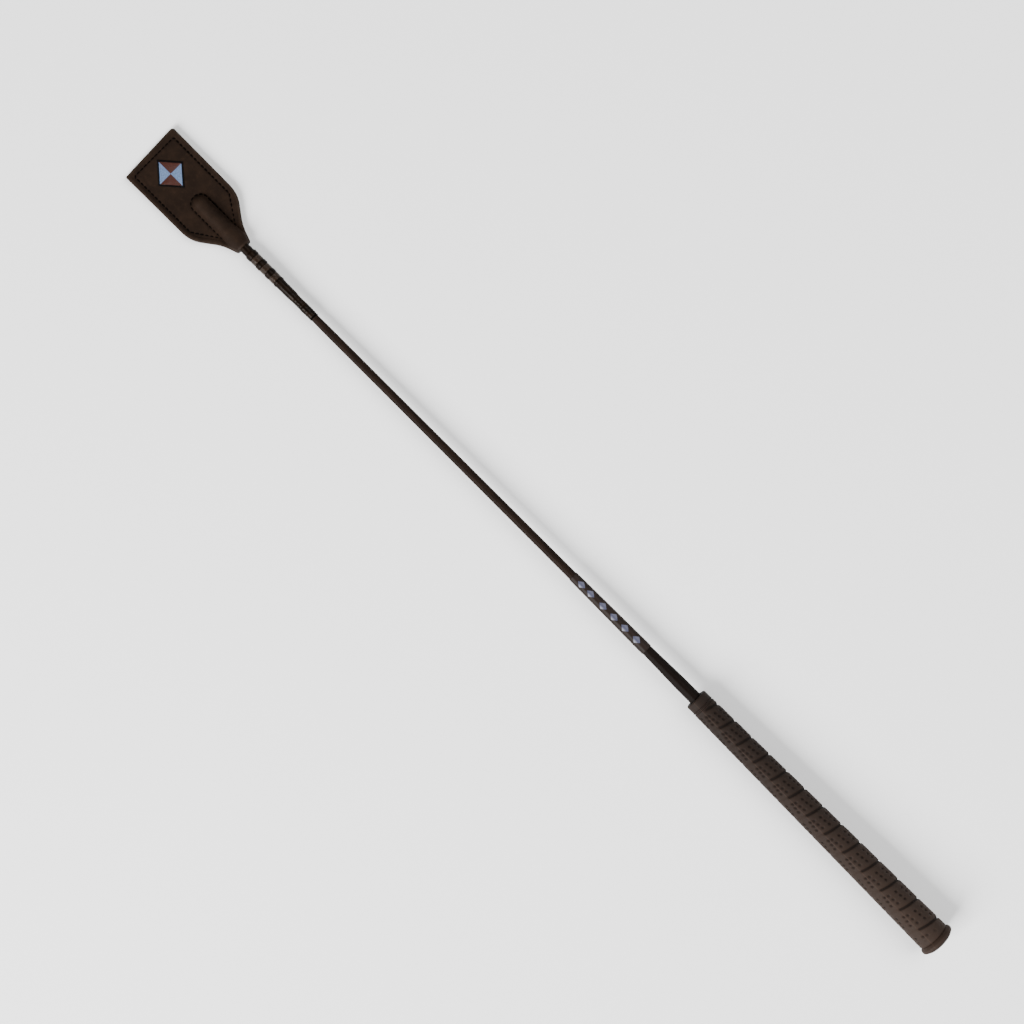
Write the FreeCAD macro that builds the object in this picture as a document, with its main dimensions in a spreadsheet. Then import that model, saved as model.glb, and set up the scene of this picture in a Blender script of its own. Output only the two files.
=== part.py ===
import FreeCAD, Part
import math
import os
import re

import Sketcher

# A jumping crop that lies along +X. The origin is the centre of the butt cap's end face, the flap
# is at the far end with its embroidered face up (+Z). Every station is a distance from the butt.

SIZES = [
    # whole crop
    ("total_length", 650.0),
    ("fit_gap", 0.02),
    # butt cap
    ("cap_length", 5.0),
    ("cap_radius", 11.15),
    ("cap_neck_radius", 9.6),
    ("cap_rim_start", 1.2),
    ("cap_rim_end", 3.2),
    ("cap_edge_round", 1.0),
    ("cap_face_radius", 8.0),
    ("spigot_radius", 7.0),
    ("spigot_end", 17.5),
    # rubber grip
    ("grip_start", 5.2),
    ("grip_butt_radius", 10.05),
    ("grip_taper_end", 193.0),
    ("grip_thin_radius", 7.2),
    ("collar_start", 195.4),
    ("collar_radius", 7.0),
    ("grip_mouth", 200.3),
    ("ring_groove_depth", 0.5),
    ("mouth_bore_radius", 4.7),
    ("mouth_depth", 3.0),
    ("shaft_bore_radius", 4.1),
    ("shaft_bore_start", 176.0),
    ("wrap_first", 12.0),
    ("wrap_pitch", 14.8),
    ("wrap_turns", 12.0),
    ("wrap_width", 2.0),
    ("wrap_depth", 0.6),
    # build-up core inside the rubber
    ("core_start", 18.2),
    ("core_end", 175.5),
    ("core_butt_radius", 7.0),
    ("core_thin_radius", 4.9),
    ("core_bore_radius", 3.75),
    # fibreglass rod
    ("rod_tip", 608.0),
    ("rod_grip_radius", 3.7),
    ("rod_tip_radius", 1.9),
    ("rod_mid_radius", 2.1),
    ("rod_sleeve_radius", 2.35),
    ("rod_flare_radius", 2.95),
    # braided thread over the rod
    ("braid_start", 177.0),
    ("braid_thick_end", 213.0),
    ("flare_station", 240.5),
    ("sleeve_station", 301.0),
    ("slim_start", 440.0),
    ("slim_end", 504.0),
    ("keeper_station", 514.0),
    ("braid_thick_radius", 4.0),
    ("braid_flare_radius", 3.3),
    ("braid_sleeve_radius", 2.7),
    ("braid_slim_radius", 2.475),
    ("braid_keeper_radius", 2.38),
    ("braid_tip_radius", 2.25),
    # printed sleeve on the shaft
    ("label_wall", 0.36),
    # lacquered keeper sleeve and its thread bands
    ("keeper_start", 514.2),
    ("keeper_end", 581.0),
    ("keeper_bore_radius", 2.42),
    ("keeper_lip_radius", 2.7),
    ("keeper_waist_radius", 2.62),
    ("keeper_body_radius", 2.95),
    ("keeper_ring_radius", 3.5),
    ("keeper_head_radius", 3.15),
    ("band_first", 543.6),
    ("band_pitch", 7.35),
    ("band_length", 4.2),
    ("band_bed_radius", 3.0),
    ("band_radius", 3.3),
    ("end_thread_length", 1.2),
    # flap
    ("flap_half_width", 20.0),
    ("flap_mouth", 571.0),
    ("flap_mouth_half_width", 4.64),
    ("flap_neck_station", 578.4),
    ("flap_neck_half_width", 6.5),
    ("flap_shoulder_station", 597.1),
    ("flap_short_side", 648.6),
    ("shoulder_round", 9.0),
    ("neck_round", 30.0),
    ("long_corner_round", 2.0),
    ("short_corner_round", 0.8),
    ("flap_drop", 1.85),
    ("leather_depth", 1.9),
    ("field_depth", 0.35),
    ("field_inset", 2.5),
    ("field_shoulder", 598.4),
    ("field_neck", 581.8),
    ("field_neck_half_width", 5.4),
    ("filler_half_depth", 0.5),
    ("filler_inset", 2.5),
    ("filler_start", 589.0),
    ("filler_slot_half", 3.0),
    ("filler_slot_end", 609.0),
    ("hinge_station", 614.0),
    ("hinge_half_gap", 0.95),
    # raised tongue over the rod's end
    ("tongue_centre", 606.9),
    ("tongue_back", 580.0),
    ("tongue_half_width", 5.1),
    ("tongue_height", 3.6),
    ("neck_cone_start", 588.0),
    ("neck_cone_radius", 3.6),
    ("neck_mouth_radius", 4.55),
    ("rod_tunnel_radius", 2.45),
    ("rod_tunnel_end", 609.0),
    ("sleeve_tunnel_radius", 3.2),
    ("sleeve_tunnel_end", 581.3),
    # stitching
    ("stitch_pitch", 2.9),
    ("stitch_length", 1.8),
    ("stitch_width", 0.6),
    ("stitch_height", 0.3),
    ("stitch_inset", 4.0),
    ("stitch_end_inset", 4.8),
    ("stitch_shoulder", 599.5),
    ("stitch_neck", 584.0),
    ("tongue_line_half", 5.6),
    # embroidered lozenge
    ("lozenge_centre", 631.4),
    ("lozenge_half_length", 11.5),
    ("lozenge_half_width", 10.0),
    ("lozenge_border", 1.1),
    ("lozenge_gap", 0.5),
    ("thread_height", 0.35),
]

doc = FreeCAD.newDocument("RidingCrop")
sheet = doc.addObject("Spreadsheet::Sheet", "Sizes")
for row, (alias, number) in enumerate(SIZES, start=1):
    sheet.set("A%d" % row, alias)
    sheet.set("B%d" % row, str(number))
    sheet.setAlias("B%d" % row, alias)
doc.recompute()

pieces = []


def cell(words):
    """An expression on the sheet's aliases, written the way setExpression wants it."""
    return re.sub(r"[a-z_]{2,}", lambda found: "Sizes." + found.group(), words)


def size(words):
    """The number that an expression on the sheet gives now."""
    return float(sheet.evalExpression(cell(words)))


# ---------------------------------------------------------------- sketches and bodies


def new_body(label):
    body = doc.addObject("PartDesign::Body", label)
    body.Label = label
    pieces.append(body)
    return body


def attach(feature, body, plane_role):
    """Put a sketch or a primitive on one of its own body's origin planes."""
    plane = next(item for item in body.Origin.OriginFeatures if item.Role == plane_role)
    feature.AttachmentSupport = (plane, [""])
    feature.MapMode = "FlatFace"


def polygon_sketch(body, name, plane_role, loops, level="0"):
    """A sketch of closed straight-sided loops whose corners are bound to the sheet."""
    sketch = body.newObject("Sketcher::SketchObject", name)
    attach(sketch, body, plane_role)
    sketch.AttachmentOffset = FreeCAD.Placement(FreeCAD.Vector(0, 0, size(level)), FreeCAD.Rotation())
    for corners in loops:
        spots = [FreeCAD.Vector(size(across), size(up), 0) for across, up in corners]
        first = sketch.GeometryCount
        last = len(spots) - 1
        for index, spot in enumerate(spots):
            sketch.addGeometry(Part.LineSegment(spot, spots[(index + 1) % len(spots)]), False)
        for index, (across, up) in enumerate(corners):
            line = first + index
            following = first if index == last else line + 1
            sketch.addConstraint(Sketcher.Constraint("Coincident", line, 2, following, 1))
            for kind, words in (("DistanceX", across), ("DistanceY", up)):
                number = Sketcher.Constraint(kind, -1, 1, line, 1, size(words))
                place = sketch.addConstraint(number)
                sketch.setExpression("Constraints[%d]" % place, cell(words))
    return sketch


def turned(label, profile):
    """A body of revolution about X; profile is a loop of (station, radius) expressions."""
    body = new_body(label)
    sketch = polygon_sketch(body, label + "_profile", "XZ_Plane", [profile])
    spin = body.newObject("PartDesign::Revolution", label + "_turned")
    spin.Profile = sketch
    spin.ReferenceAxis = (sketch, ["H_Axis"])
    spin.Angle = 360
    doc.recompute()
    return body


def padded(label, loops, height, centred=False):
    """A flat body on the XY plane; height is an expression."""
    body = new_body(label)
    sketch = polygon_sketch(body, label + "_outline", "XY_Plane", loops)
    pad = body.newObject("PartDesign::Pad", label + "_pad")
    pad.Profile = sketch
    pad.setExpression("Length", cell(height))
    if centred:
        pad.Midplane = True
    doc.recompute()
    return body


def round_edges(body, radius, wanted):
    """Fillet the edges of the body's tip that wanted(edge) picks."""
    tip = body.Tip
    names = ["Edge%d" % (i + 1) for i, edge in enumerate(tip.Shape.Edges) if wanted(edge)]
    fillet = body.newObject("PartDesign::Fillet", body.Label + "_round")
    fillet.Base = (tip, names)
    fillet.setExpression("Radius", cell(radius))
    doc.recompute()
    return fillet


def circle_at(station, radius):
    """Pick the circular edges about X at a station, of a radius."""

    def wanted(edge):
        curve = edge.Curve
        return (
            isinstance(curve, Part.Circle)
            and abs(curve.Center.x - size(station)) < 0.01
            and abs(curve.Radius - size(radius)) < 0.01
        )

    return wanted


def upright_at(station, half_width, both=True):
    """Pick the upright edges of a flat body at a station and a distance off the axis."""

    def wanted(edge):
        box = edge.BoundBox
        off = box.YMin - size(half_width)
        off_other = box.YMin + size(half_width)
        near = abs(off) < 0.01 or (both and abs(off_other) < 0.01)
        return box.XLength < 0.01 and box.YLength < 0.01 and near and abs(box.XMin - size(station)) < 0.01

    return wanted


def solid_feature(body, kind, name, spot, sizes, lying=True):
    """An additive or subtractive primitive; spot is (x, y, z) and sizes are expressions."""
    feature = body.newObject("PartDesign::" + kind, name)
    attach(feature, body, "XY_Plane")
    for key, words in sizes.items():
        feature.setExpression(key, cell(words))
    turn = FreeCAD.Rotation(FreeCAD.Vector(0, 1, 0), 90 if lying else 0)
    corner = FreeCAD.Vector(*[size(words) for words in spot])
    feature.AttachmentOffset = FreeCAD.Placement(corner, turn)
    doc.recompute()
    return feature


# ---------------------------------------------------------------- shaft


def build_rod_and_braid():
    rod_line = [
        ("core_start", "rod_grip_radius"),
        ("braid_thick_end", "rod_grip_radius - 0.05"),
        ("flare_station", "rod_flare_radius"),
        ("sleeve_station", "rod_sleeve_radius"),
        ("slim_start", "rod_mid_radius"),
        ("slim_end", "rod_mid_radius"),
        ("keeper_station", "rod_mid_radius - 0.05"),
        ("rod_tip", "rod_tip_radius"),
    ]
    turned("core_rod", rod_line + [("rod_tip", "0"), ("core_start", "0")])

    braid_line = [
        ("braid_start", "braid_thick_radius"),
        ("braid_thick_end", "braid_thick_radius"),
        ("flare_station", "braid_flare_radius"),
        ("sleeve_station", "braid_sleeve_radius"),
        ("slim_start", "braid_slim_radius"),
        ("slim_end", "braid_slim_radius"),
        ("keeper_station", "braid_keeper_radius"),
        ("rod_tip", "braid_tip_radius"),
    ]
    grip_slope = "(rod_grip_radius - 0.05 * (braid_start - core_start) / (braid_thick_end - core_start))"
    inner = [(station, radius + " + fit_gap") for station, radius in rod_line[1:]]
    inner.insert(0, ("braid_start", grip_slope + " + fit_gap"))
    turned("braid_cover", braid_line + inner[::-1])


def build_label_sleeve():
    outer = [
        ("flare_station", "braid_flare_radius + label_wall"),
        ("sleeve_station", "braid_sleeve_radius + label_wall"),
    ]
    inner = [
        ("sleeve_station", "braid_sleeve_radius + fit_gap"),
        ("flare_station", "braid_flare_radius + fit_gap"),
    ]
    turned("label_sleeve", outer + inner)


def build_keeper():
    profile = [
        ("keeper_start", "keeper_lip_radius - 0.15"),
        ("keeper_start + 0.8", "keeper_lip_radius"),
        ("keeper_start + 8", "keeper_lip_radius"),
        ("keeper_start + 10", "keeper_waist_radius"),
        ("keeper_start + 15", "keeper_waist_radius"),
        ("keeper_start + 18", "keeper_body_radius - 0.05"),
        ("band_first - 1.9", "keeper_body_radius"),
        ("band_first - 1.2", "keeper_ring_radius"),
    ]
    for band in range(3):
        start = "band_first + %d * band_pitch" % band
        profile += [
            (start, "keeper_ring_radius"),
            (start, "band_bed_radius"),
            (start + " + band_length", "band_bed_radius"),
            (start + " + band_length", "keeper_ring_radius"),
        ]
    profile += [
        ("band_first + 2 * band_pitch + band_length + 3.2", "keeper_ring_radius"),
        ("band_first + 2 * band_pitch + band_length + 4", "keeper_head_radius"),
        ("keeper_end", "keeper_head_radius"),
        ("keeper_end", "keeper_bore_radius"),
        ("keeper_start", "keeper_bore_radius"),
    ]
    turned("keeper_sleeve", profile)

    for band in range(3):
        start = "band_first + %d * band_pitch" % band
        near = start + " + fit_gap"
        far = start + " + band_length - fit_gap"
        turned("whipping_band_%d" % (band + 1), [
            (near, "band_bed_radius + fit_gap"),
            (near, "band_radius - 0.1"),
            (near + " + 0.4", "band_radius"),
            (far + " - 0.4", "band_radius"),
            (far, "band_radius - 0.1"),
            (far, "band_bed_radius + fit_gap"),
        ])

    end = "keeper_start - fit_gap"
    turned("keeper_end_thread", [
        (end, "keeper_bore_radius"),
        (end, "keeper_lip_radius - 0.15"),
        (end + " - end_thread_length / 2", "keeper_lip_radius + 0.05"),
        (end + " - end_thread_length", "keeper_lip_radius - 0.15"),
        (end + " - end_thread_length", "keeper_bore_radius"),
    ])


# ---------------------------------------------------------------- grip


def build_grip_core():
    turned("grip_core", [
        ("core_start", "core_bore_radius"),
        ("core_start", "core_butt_radius"),
        ("core_end", "core_thin_radius"),
        ("core_end", "core_bore_radius"),
    ])


def build_grip_rubber():
    bore_gap = "+ 2 * fit_gap"
    body = turned("grip_rubber", [
        ("grip_start", "spigot_radius" + bore_gap),
        ("grip_start", "grip_butt_radius - 0.3"),
        ("grip_start + 0.6", "grip_butt_radius"),
        ("grip_taper_end", "grip_thin_radius"),
        ("grip_taper_end + 0.5", "grip_thin_radius - ring_groove_depth"),
        ("grip_taper_end + 1.1", "grip_thin_radius - ring_groove_depth"),
        ("grip_taper_end + 1.3", "collar_radius"),
        ("collar_start - 0.6", "collar_radius"),
        ("collar_start - 0.3", "collar_radius - ring_groove_depth"),
        ("collar_start", "collar_radius"),
        ("grip_mouth - 0.6", "collar_radius"),
        ("grip_mouth", "collar_radius - 0.6"),
        ("grip_mouth", "mouth_bore_radius"),
        ("grip_mouth - mouth_depth", "mouth_bore_radius"),
        ("grip_mouth - mouth_depth", "shaft_bore_radius"),
        ("shaft_bore_start", "shaft_bore_radius"),
        ("shaft_bore_start", "core_thin_radius" + bore_gap),
        ("core_end", "core_thin_radius" + bore_gap),
        ("core_start", "core_butt_radius" + bore_gap),
    ])
    # one helical groove, cut by a tapering sweep, so the grip looks wrapped by a strip
    slope = "((grip_thin_radius - grip_butt_radius) / (grip_taper_end - grip_start))"
    surface = "(grip_butt_radius + (wrap_first - grip_start) * %s)" % slope
    groove = polygon_sketch(body, "wrap_profile", "XZ_Plane", [[
        ("wrap_first - 0.75 * wrap_width", surface + " + 0.3"),
        ("wrap_first + 0.75 * wrap_width", surface + " + 0.3"),
        ("wrap_first + 0.25 * wrap_width", surface + " - wrap_depth"),
        ("wrap_first - 0.25 * wrap_width", surface + " - wrap_depth"),
    ]])
    before = body.Shape.Volume
    helix = body.newObject("PartDesign::SubtractiveHelix", "wrap_groove")
    helix.Profile = groove
    helix.ReferenceAxis = (groove, ["H_Axis"])
    helix.Mode = "pitch-height-angle"
    helix.setExpression("Pitch", cell("wrap_pitch"))
    helix.setExpression("Height", cell("wrap_pitch * wrap_turns"))
    helix.Angle = math.degrees(math.atan(size(slope)))
    helix.LeftHanded = True
    helix.Reversed = False
    doc.recompute()
    if not body.Shape.Volume < before:
        raise RuntimeError("the wrap groove cut nothing")


def build_butt_cap():
    body = turned("butt_cap", [
        ("0", "0"),
        ("0", "cap_face_radius"),
        ("cap_rim_start", "cap_radius"),
        ("cap_rim_end", "cap_radius"),
        ("cap_length", "cap_neck_radius"),
        ("cap_length", "spigot_radius"),
        ("spigot_end", "spigot_radius"),
        ("spigot_end", "0"),
    ])
    for station in ("cap_rim_start", "cap_rim_end"):
        round_edges(body, "cap_edge_round", circle_at(station, "cap_radius"))


# ---------------------------------------------------------------- flap


def place_on_flap(body, underside=False):
    """The flap's mid-plane is below the shaft's axis, so that its back lies flat on a table."""
    turn = FreeCAD.Rotation(FreeCAD.Vector(1, 0, 0), 180 if underside else 0)
    body.Placement = FreeCAD.Placement(FreeCAD.Vector(0, 0, -size("flap_drop")), turn)


def leather_root(label, underside):
    """The neck end of one leather layer, from the keeper to the flap's bending line."""
    end = "hinge_station - hinge_half_gap"
    body = padded(label, [[
        ("flap_mouth", "-flap_mouth_half_width"),
        ("flap_neck_station", "-flap_neck_half_width"),
        ("flap_shoulder_station", "-flap_half_width"),
        (end, "-flap_half_width"),
        (end, "flap_half_width"),
        ("flap_shoulder_station", "flap_half_width"),
        ("flap_neck_station", "flap_neck_half_width"),
        ("flap_mouth", "flap_mouth_half_width"),
    ]], "leather_depth")
    round_edges(body, "shoulder_round", upright_at("flap_shoulder_station", "flap_half_width"))
    round_edges(body, "neck_round", upright_at("flap_neck_station", "flap_neck_half_width"))
    field_half = "flap_half_width - field_inset"
    cut_pocket(body, "field", "field_depth", "leather_depth - field_depth", [
        ("field_neck", "-field_neck_half_width"),
        ("field_shoulder", "-(%s)" % field_half),
        (end + " + 1", "-(%s)" % field_half),
        (end + " + 1", field_half),
        ("field_shoulder", field_half),
        ("field_neck", "field_neck_half_width"),
    ])

    # the shaft's axis, in this layer's own frame
    axis = "-flap_drop" if underside else "flap_drop"
    if not underside:
        ridge = "((tongue_half_width ^ 2 + tongue_height ^ 2) / (2 * tongue_height))"
        ridge_axis = "leather_depth + tongue_height - " + ridge
        solid_feature(body, "AdditiveCylinder", "tongue_ridge", ("tongue_back", "0", ridge_axis),
                      {"Radius": ridge, "Height": "tongue_centre - tongue_back"})
        solid_feature(body, "AdditiveSphere", "tongue_end", ("tongue_centre", "0", ridge_axis),
                      {"Radius": ridge})
    solid_feature(body, "AdditiveCone", "neck_tube", ("flap_mouth", "0", axis),
                  {"Radius1": "neck_mouth_radius", "Radius2": "neck_cone_radius",
                   "Height": "neck_cone_start - flap_mouth"})
    # everything under the mid-plane belongs to the other layer
    solid_feature(body, "SubtractiveBox", "mid_plane",
                  ("flap_mouth - 20", "-30", "-30"),
                  {"Length": "100", "Width": "60", "Height": "30"}, lying=False)
    solid_feature(body, "SubtractiveCylinder", "rod_tunnel", ("flap_mouth - 1", "0", axis),
                  {"Radius": "rod_tunnel_radius", "Height": "rod_tunnel_end - flap_mouth + 1"})
    solid_feature(body, "SubtractiveCylinder", "sleeve_tunnel", ("flap_mouth - 1", "0", axis),
                  {"Radius": "sleeve_tunnel_radius", "Height": "sleeve_tunnel_end - flap_mouth + 1"})
    cut_pocket(body, "filler_bed", "filler_half_depth + fit_gap", "0",
               filler_root_loop("fit_gap", slot=False))
    place_on_flap(body, underside)
    return body


def leather_blade(label, underside):
    """The free end of one leather layer; its -Y corner reaches furthest and is rounder."""
    start = "hinge_station + hinge_half_gap"
    long_side = "flap_half_width" if underside else "-flap_half_width"
    short_side = "-flap_half_width" if underside else "flap_half_width"
    body = padded(label, [[
        (start, long_side),
        ("total_length", long_side),
        ("flap_short_side", short_side),
        (start, short_side),
    ]], "leather_depth")
    round_edges(body, "long_corner_round", upright_at("total_length", long_side, both=False))
    round_edges(body, "short_corner_round", upright_at("flap_short_side", short_side, both=False))
    field_half = "flap_half_width - field_inset"
    field_end = "flap_short_side - field_inset"
    cut_pocket(body, "field", "field_depth", "leather_depth - field_depth", [
        (start + " - 1", "-(%s)" % field_half),
        (field_end, "-(%s)" % field_half),
        (field_end, field_half),
        (start + " - 1", field_half),
    ])
    cut_pocket(body, "filler_bed", "filler_half_depth + fit_gap", "0", filler_blade_loop("fit_gap"))
    place_on_flap(body, underside)
    return body


def filler_root_loop(grow, slot):
    """The stiffener's outline at the neck end, with the slot for the rod's end."""
    half = "flap_half_width - filler_inset + " + grow
    end = "hinge_station - hinge_half_gap"
    loop = [
        ("filler_start - " + grow, "flap_neck_half_width + " + grow),
        ("flap_shoulder_station + 1", half),
        (end, half),
        (end, "-(%s)" % half),
        ("flap_shoulder_station + 1", "-(%s)" % half),
        ("filler_start - " + grow, "-(flap_neck_half_width + %s)" % grow),
    ]
    if slot:
        loop += [
            ("filler_start - " + grow, "-filler_slot_half"),
            ("filler_slot_end", "-filler_slot_half"),
            ("filler_slot_end", "filler_slot_half"),
            ("filler_start - " + grow, "filler_slot_half"),
        ]
    return loop


def filler_blade_loop(grow):
    half = "flap_half_width - filler_inset + " + grow
    start = "hinge_station + hinge_half_gap"
    end = "flap_short_side - filler_inset + " + grow
    return [(start, "-(%s)" % half), (end, "-(%s)" % half), (end, half), (start, half)]


def cut_pocket(body, name, depth, level, loop):
    """A pocket cut upwards from a level of the body."""
    before = body.Shape.Volume
    outline = polygon_sketch(body, name + "_outline", "XY_Plane", [loop], level)
    pocket = body.newObject("PartDesign::Pocket", name)
    pocket.Profile = outline
    pocket.setExpression("Length", cell(depth))
    pocket.Reversed = True
    doc.recompute()
    if not body.Shape.Volume < before:
        raise RuntimeError("%s in %s cut nothing" % (name, body.Label))


def build_filler():
    root = padded("flap_filler_root", [filler_root_loop("0", slot=True)], "2 * filler_half_depth", True)
    blade = padded("flap_filler_blade", [filler_blade_loop("0")], "2 * filler_half_depth", True)
    place_on_flap(root)
    place_on_flap(blade)


# ---------------------------------------------------------------- thread work


def stitches_along(path):
    """Evenly spaced stitches, on the front and on the back, along a list of edges."""
    wire = Part.Wire(path)
    count = max(1, int(wire.Length / size("stitch_pitch")))
    spacing = wire.Length / count
    long = size("stitch_length")
    wide = size("stitch_width")
    high = size("stitch_height")
    spots = wire.discretize(Number=2 * count + 1)[1::2]
    ahead = wire.discretize(Number=2 * count + 1)[2::2]
    front = size("leather_depth - field_depth - flap_drop")
    back = size("field_depth - leather_depth - flap_drop") - high
    solids = []
    for spot, following in zip(spots, ahead):
        heading = math.degrees(math.atan2(following.y - spot.y, following.x - spot.x))
        for level in (front, back):
            stitch = Part.makeBox(min(long, spacing), wide, high, FreeCAD.Vector(-long / 2, -wide / 2, 0))
            turn = FreeCAD.Rotation(FreeCAD.Vector(0, 0, 1), heading)
            stitch.Placement = FreeCAD.Placement(FreeCAD.Vector(spot.x, spot.y, level), turn)
            solids.append(stitch)
    return solids


def flap_spot(station, across):
    return FreeCAD.Vector(size(station), size(across), 0)


def thread_feature(label, solids):
    feature = doc.addObject("Part::Feature", label)
    feature.Label = label
    feature.Shape = Part.makeCompound(solids)
    feature.Placement = FreeCAD.Placement()
    pieces.append(feature)


def build_edge_stitching():
    side = "flap_half_width - stitch_inset"
    root = []
    blade = []
    for sign in ("", "-"):
        edge_of_root = flap_spot("hinge_station - hinge_half_gap - 0.4", sign + "(%s)" % side)
        shoulder = flap_spot("stitch_shoulder", sign + "(%s)" % side)
        neck = flap_spot("stitch_neck", sign + "tongue_line_half")
        root += stitches_along([Part.LineSegment(edge_of_root, shoulder).toShape()])
        root += stitches_along([Part.LineSegment(shoulder, neck).toShape()])
        edge_of_blade = flap_spot("hinge_station + hinge_half_gap + 0.4", sign + "(%s)" % side)
        end = "total_length - stitch_end_inset"
        corner = flap_spot(end, sign + "(%s)" % side)
        blade += stitches_along([Part.LineSegment(edge_of_blade, corner).toShape()])
    across = (flap_spot(end, "-(%s) + stitch_pitch / 2" % side), flap_spot(end, "%s - stitch_pitch / 2" % side))
    blade += stitches_along([Part.LineSegment(*across).toShape()])
    thread_feature("edge_stitching_root", root)
    thread_feature("edge_stitching_blade", blade)


def build_tongue_stitching():
    start = "stitch_neck + 1.3"
    half = "tongue_line_half"
    legs = []
    for sign in ("", "-"):
        neck = flap_spot(start, sign + half)
        turn = flap_spot("tongue_centre", sign + half)
        legs += stitches_along([Part.LineSegment(neck, turn).toShape()])
    bow = Part.Arc(
        flap_spot("tongue_centre", half),
        flap_spot("tongue_centre + " + half, "0"),
        flap_spot("tongue_centre", "-" + half),
    ).toShape()
    thread_feature("tongue_stitching", legs + stitches_along([bow]))


def lozenge_quarter(ahead, left):
    """One of the four triangles inside the lozenge's border."""
    sign_x = "" if ahead else "-"
    sign_y = "" if left else "-"
    near_x = "lozenge_centre + %s(lozenge_gap / 2)" % sign_x
    near_y = "%s(lozenge_gap / 2)" % sign_y
    far_x = "lozenge_centre + %s(lozenge_half_length - 2 * lozenge_border)" % sign_x
    far_y = "%s(lozenge_half_width - 2 * lozenge_border)" % sign_y
    return [(near_x, near_y), (far_x, near_y), (near_x, far_y)]


def lozenge_ring(shrink):
    return [
        ("lozenge_centre - lozenge_half_length + " + shrink, "0"),
        ("lozenge_centre", "-lozenge_half_width + " + shrink),
        ("lozenge_centre + lozenge_half_length - " + shrink, "0"),
        ("lozenge_centre", "lozenge_half_width - " + shrink),
    ]


def build_embroidery():
    light = padded("emblem_light_thread", [lozenge_quarter(True, True), lozenge_quarter(False, False)],
                   "thread_height")
    rust = padded("emblem_rust_thread", [lozenge_quarter(True, False), lozenge_quarter(False, True)],
                  "thread_height")
    border = padded("emblem_border_thread", [lozenge_ring("0"), lozenge_ring("lozenge_border")],
                    "thread_height")
    level = FreeCAD.Vector(0, 0, size("leather_depth - field_depth - flap_drop"))
    for body in (light, rust, border):
        body.Placement = FreeCAD.Placement(level, FreeCAD.Rotation())


build_rod_and_braid()
build_label_sleeve()
build_keeper()
build_grip_core()
build_grip_rubber()
build_butt_cap()
leather_root("flap_front_root", underside=False)
leather_root("flap_back_root", underside=True)
leather_blade("flap_front_blade", underside=False)
leather_blade("flap_back_blade", underside=True)
build_filler()
build_edge_stitching()
build_tongue_stitching()
build_embroidery()

# ---------------------------------------------------------------- check and write

doc.recompute()
for thing in doc.Objects:
    if "Invalid" in thing.State or "Error" in thing.State:
        raise RuntimeError("%s did not recompute: %s" % (thing.Label, thing.State))
os.makedirs("parts", exist_ok=True)
for piece in pieces:
    shape = piece.Shape
    if shape.isNull() or not shape.isValid() or shape.Volume <= 0:
        raise RuntimeError("%s has no valid solid" % piece.Label)
for piece in pieces:
    piece.Shape.exportStep("parts/%s.step" % piece.Label)
    print("%-22s %9.1f mm3  %d solid(s)" % (piece.Label, piece.Shape.Volume, len(piece.Shape.Solids)))
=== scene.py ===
"""Riding crop: the finished look of each piece, built round the fixed frame."""

import math

import bpy
import numpy as np
from mathutils import Matrix, Vector


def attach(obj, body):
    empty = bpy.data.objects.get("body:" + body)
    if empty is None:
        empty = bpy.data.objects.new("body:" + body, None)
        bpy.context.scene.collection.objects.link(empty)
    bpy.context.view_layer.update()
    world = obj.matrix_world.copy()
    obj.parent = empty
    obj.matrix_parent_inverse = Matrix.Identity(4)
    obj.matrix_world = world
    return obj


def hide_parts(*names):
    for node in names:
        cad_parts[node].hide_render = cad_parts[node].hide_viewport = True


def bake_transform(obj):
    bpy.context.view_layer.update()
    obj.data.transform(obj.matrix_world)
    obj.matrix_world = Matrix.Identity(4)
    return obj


bl_info = {
    "name": "Riding Crop Maker",
    "version": (1, 0, 0),
    "blender": (4, 5, 0),
    "location": "3D View > Sidebar > Crop",
    "description": "Builds a short jumping crop piece by piece",
    "category": "Add Mesh",
}

MM = 0.001
HANDLE_BODY = "crop"
FLAP_BODY = "flap_blade"

FULL_TURN = 2.0 * math.pi

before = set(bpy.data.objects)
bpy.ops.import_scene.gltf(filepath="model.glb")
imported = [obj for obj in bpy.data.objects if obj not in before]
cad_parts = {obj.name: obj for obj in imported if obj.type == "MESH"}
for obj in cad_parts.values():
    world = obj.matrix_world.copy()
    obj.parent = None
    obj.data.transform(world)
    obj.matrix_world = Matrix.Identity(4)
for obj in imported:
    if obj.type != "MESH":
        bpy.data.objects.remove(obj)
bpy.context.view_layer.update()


def srgb(red, green, blue):
    """The linear colour of an 8-bit display colour."""
    shares = [value / 255.0 for value in (red, green, blue)]
    return tuple(s / 12.92 if s <= 0.04045 else ((s + 0.055) / 1.055) ** 2.4 for s in shares)


# Sizes along the crop, in millimetres from the butt

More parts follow.
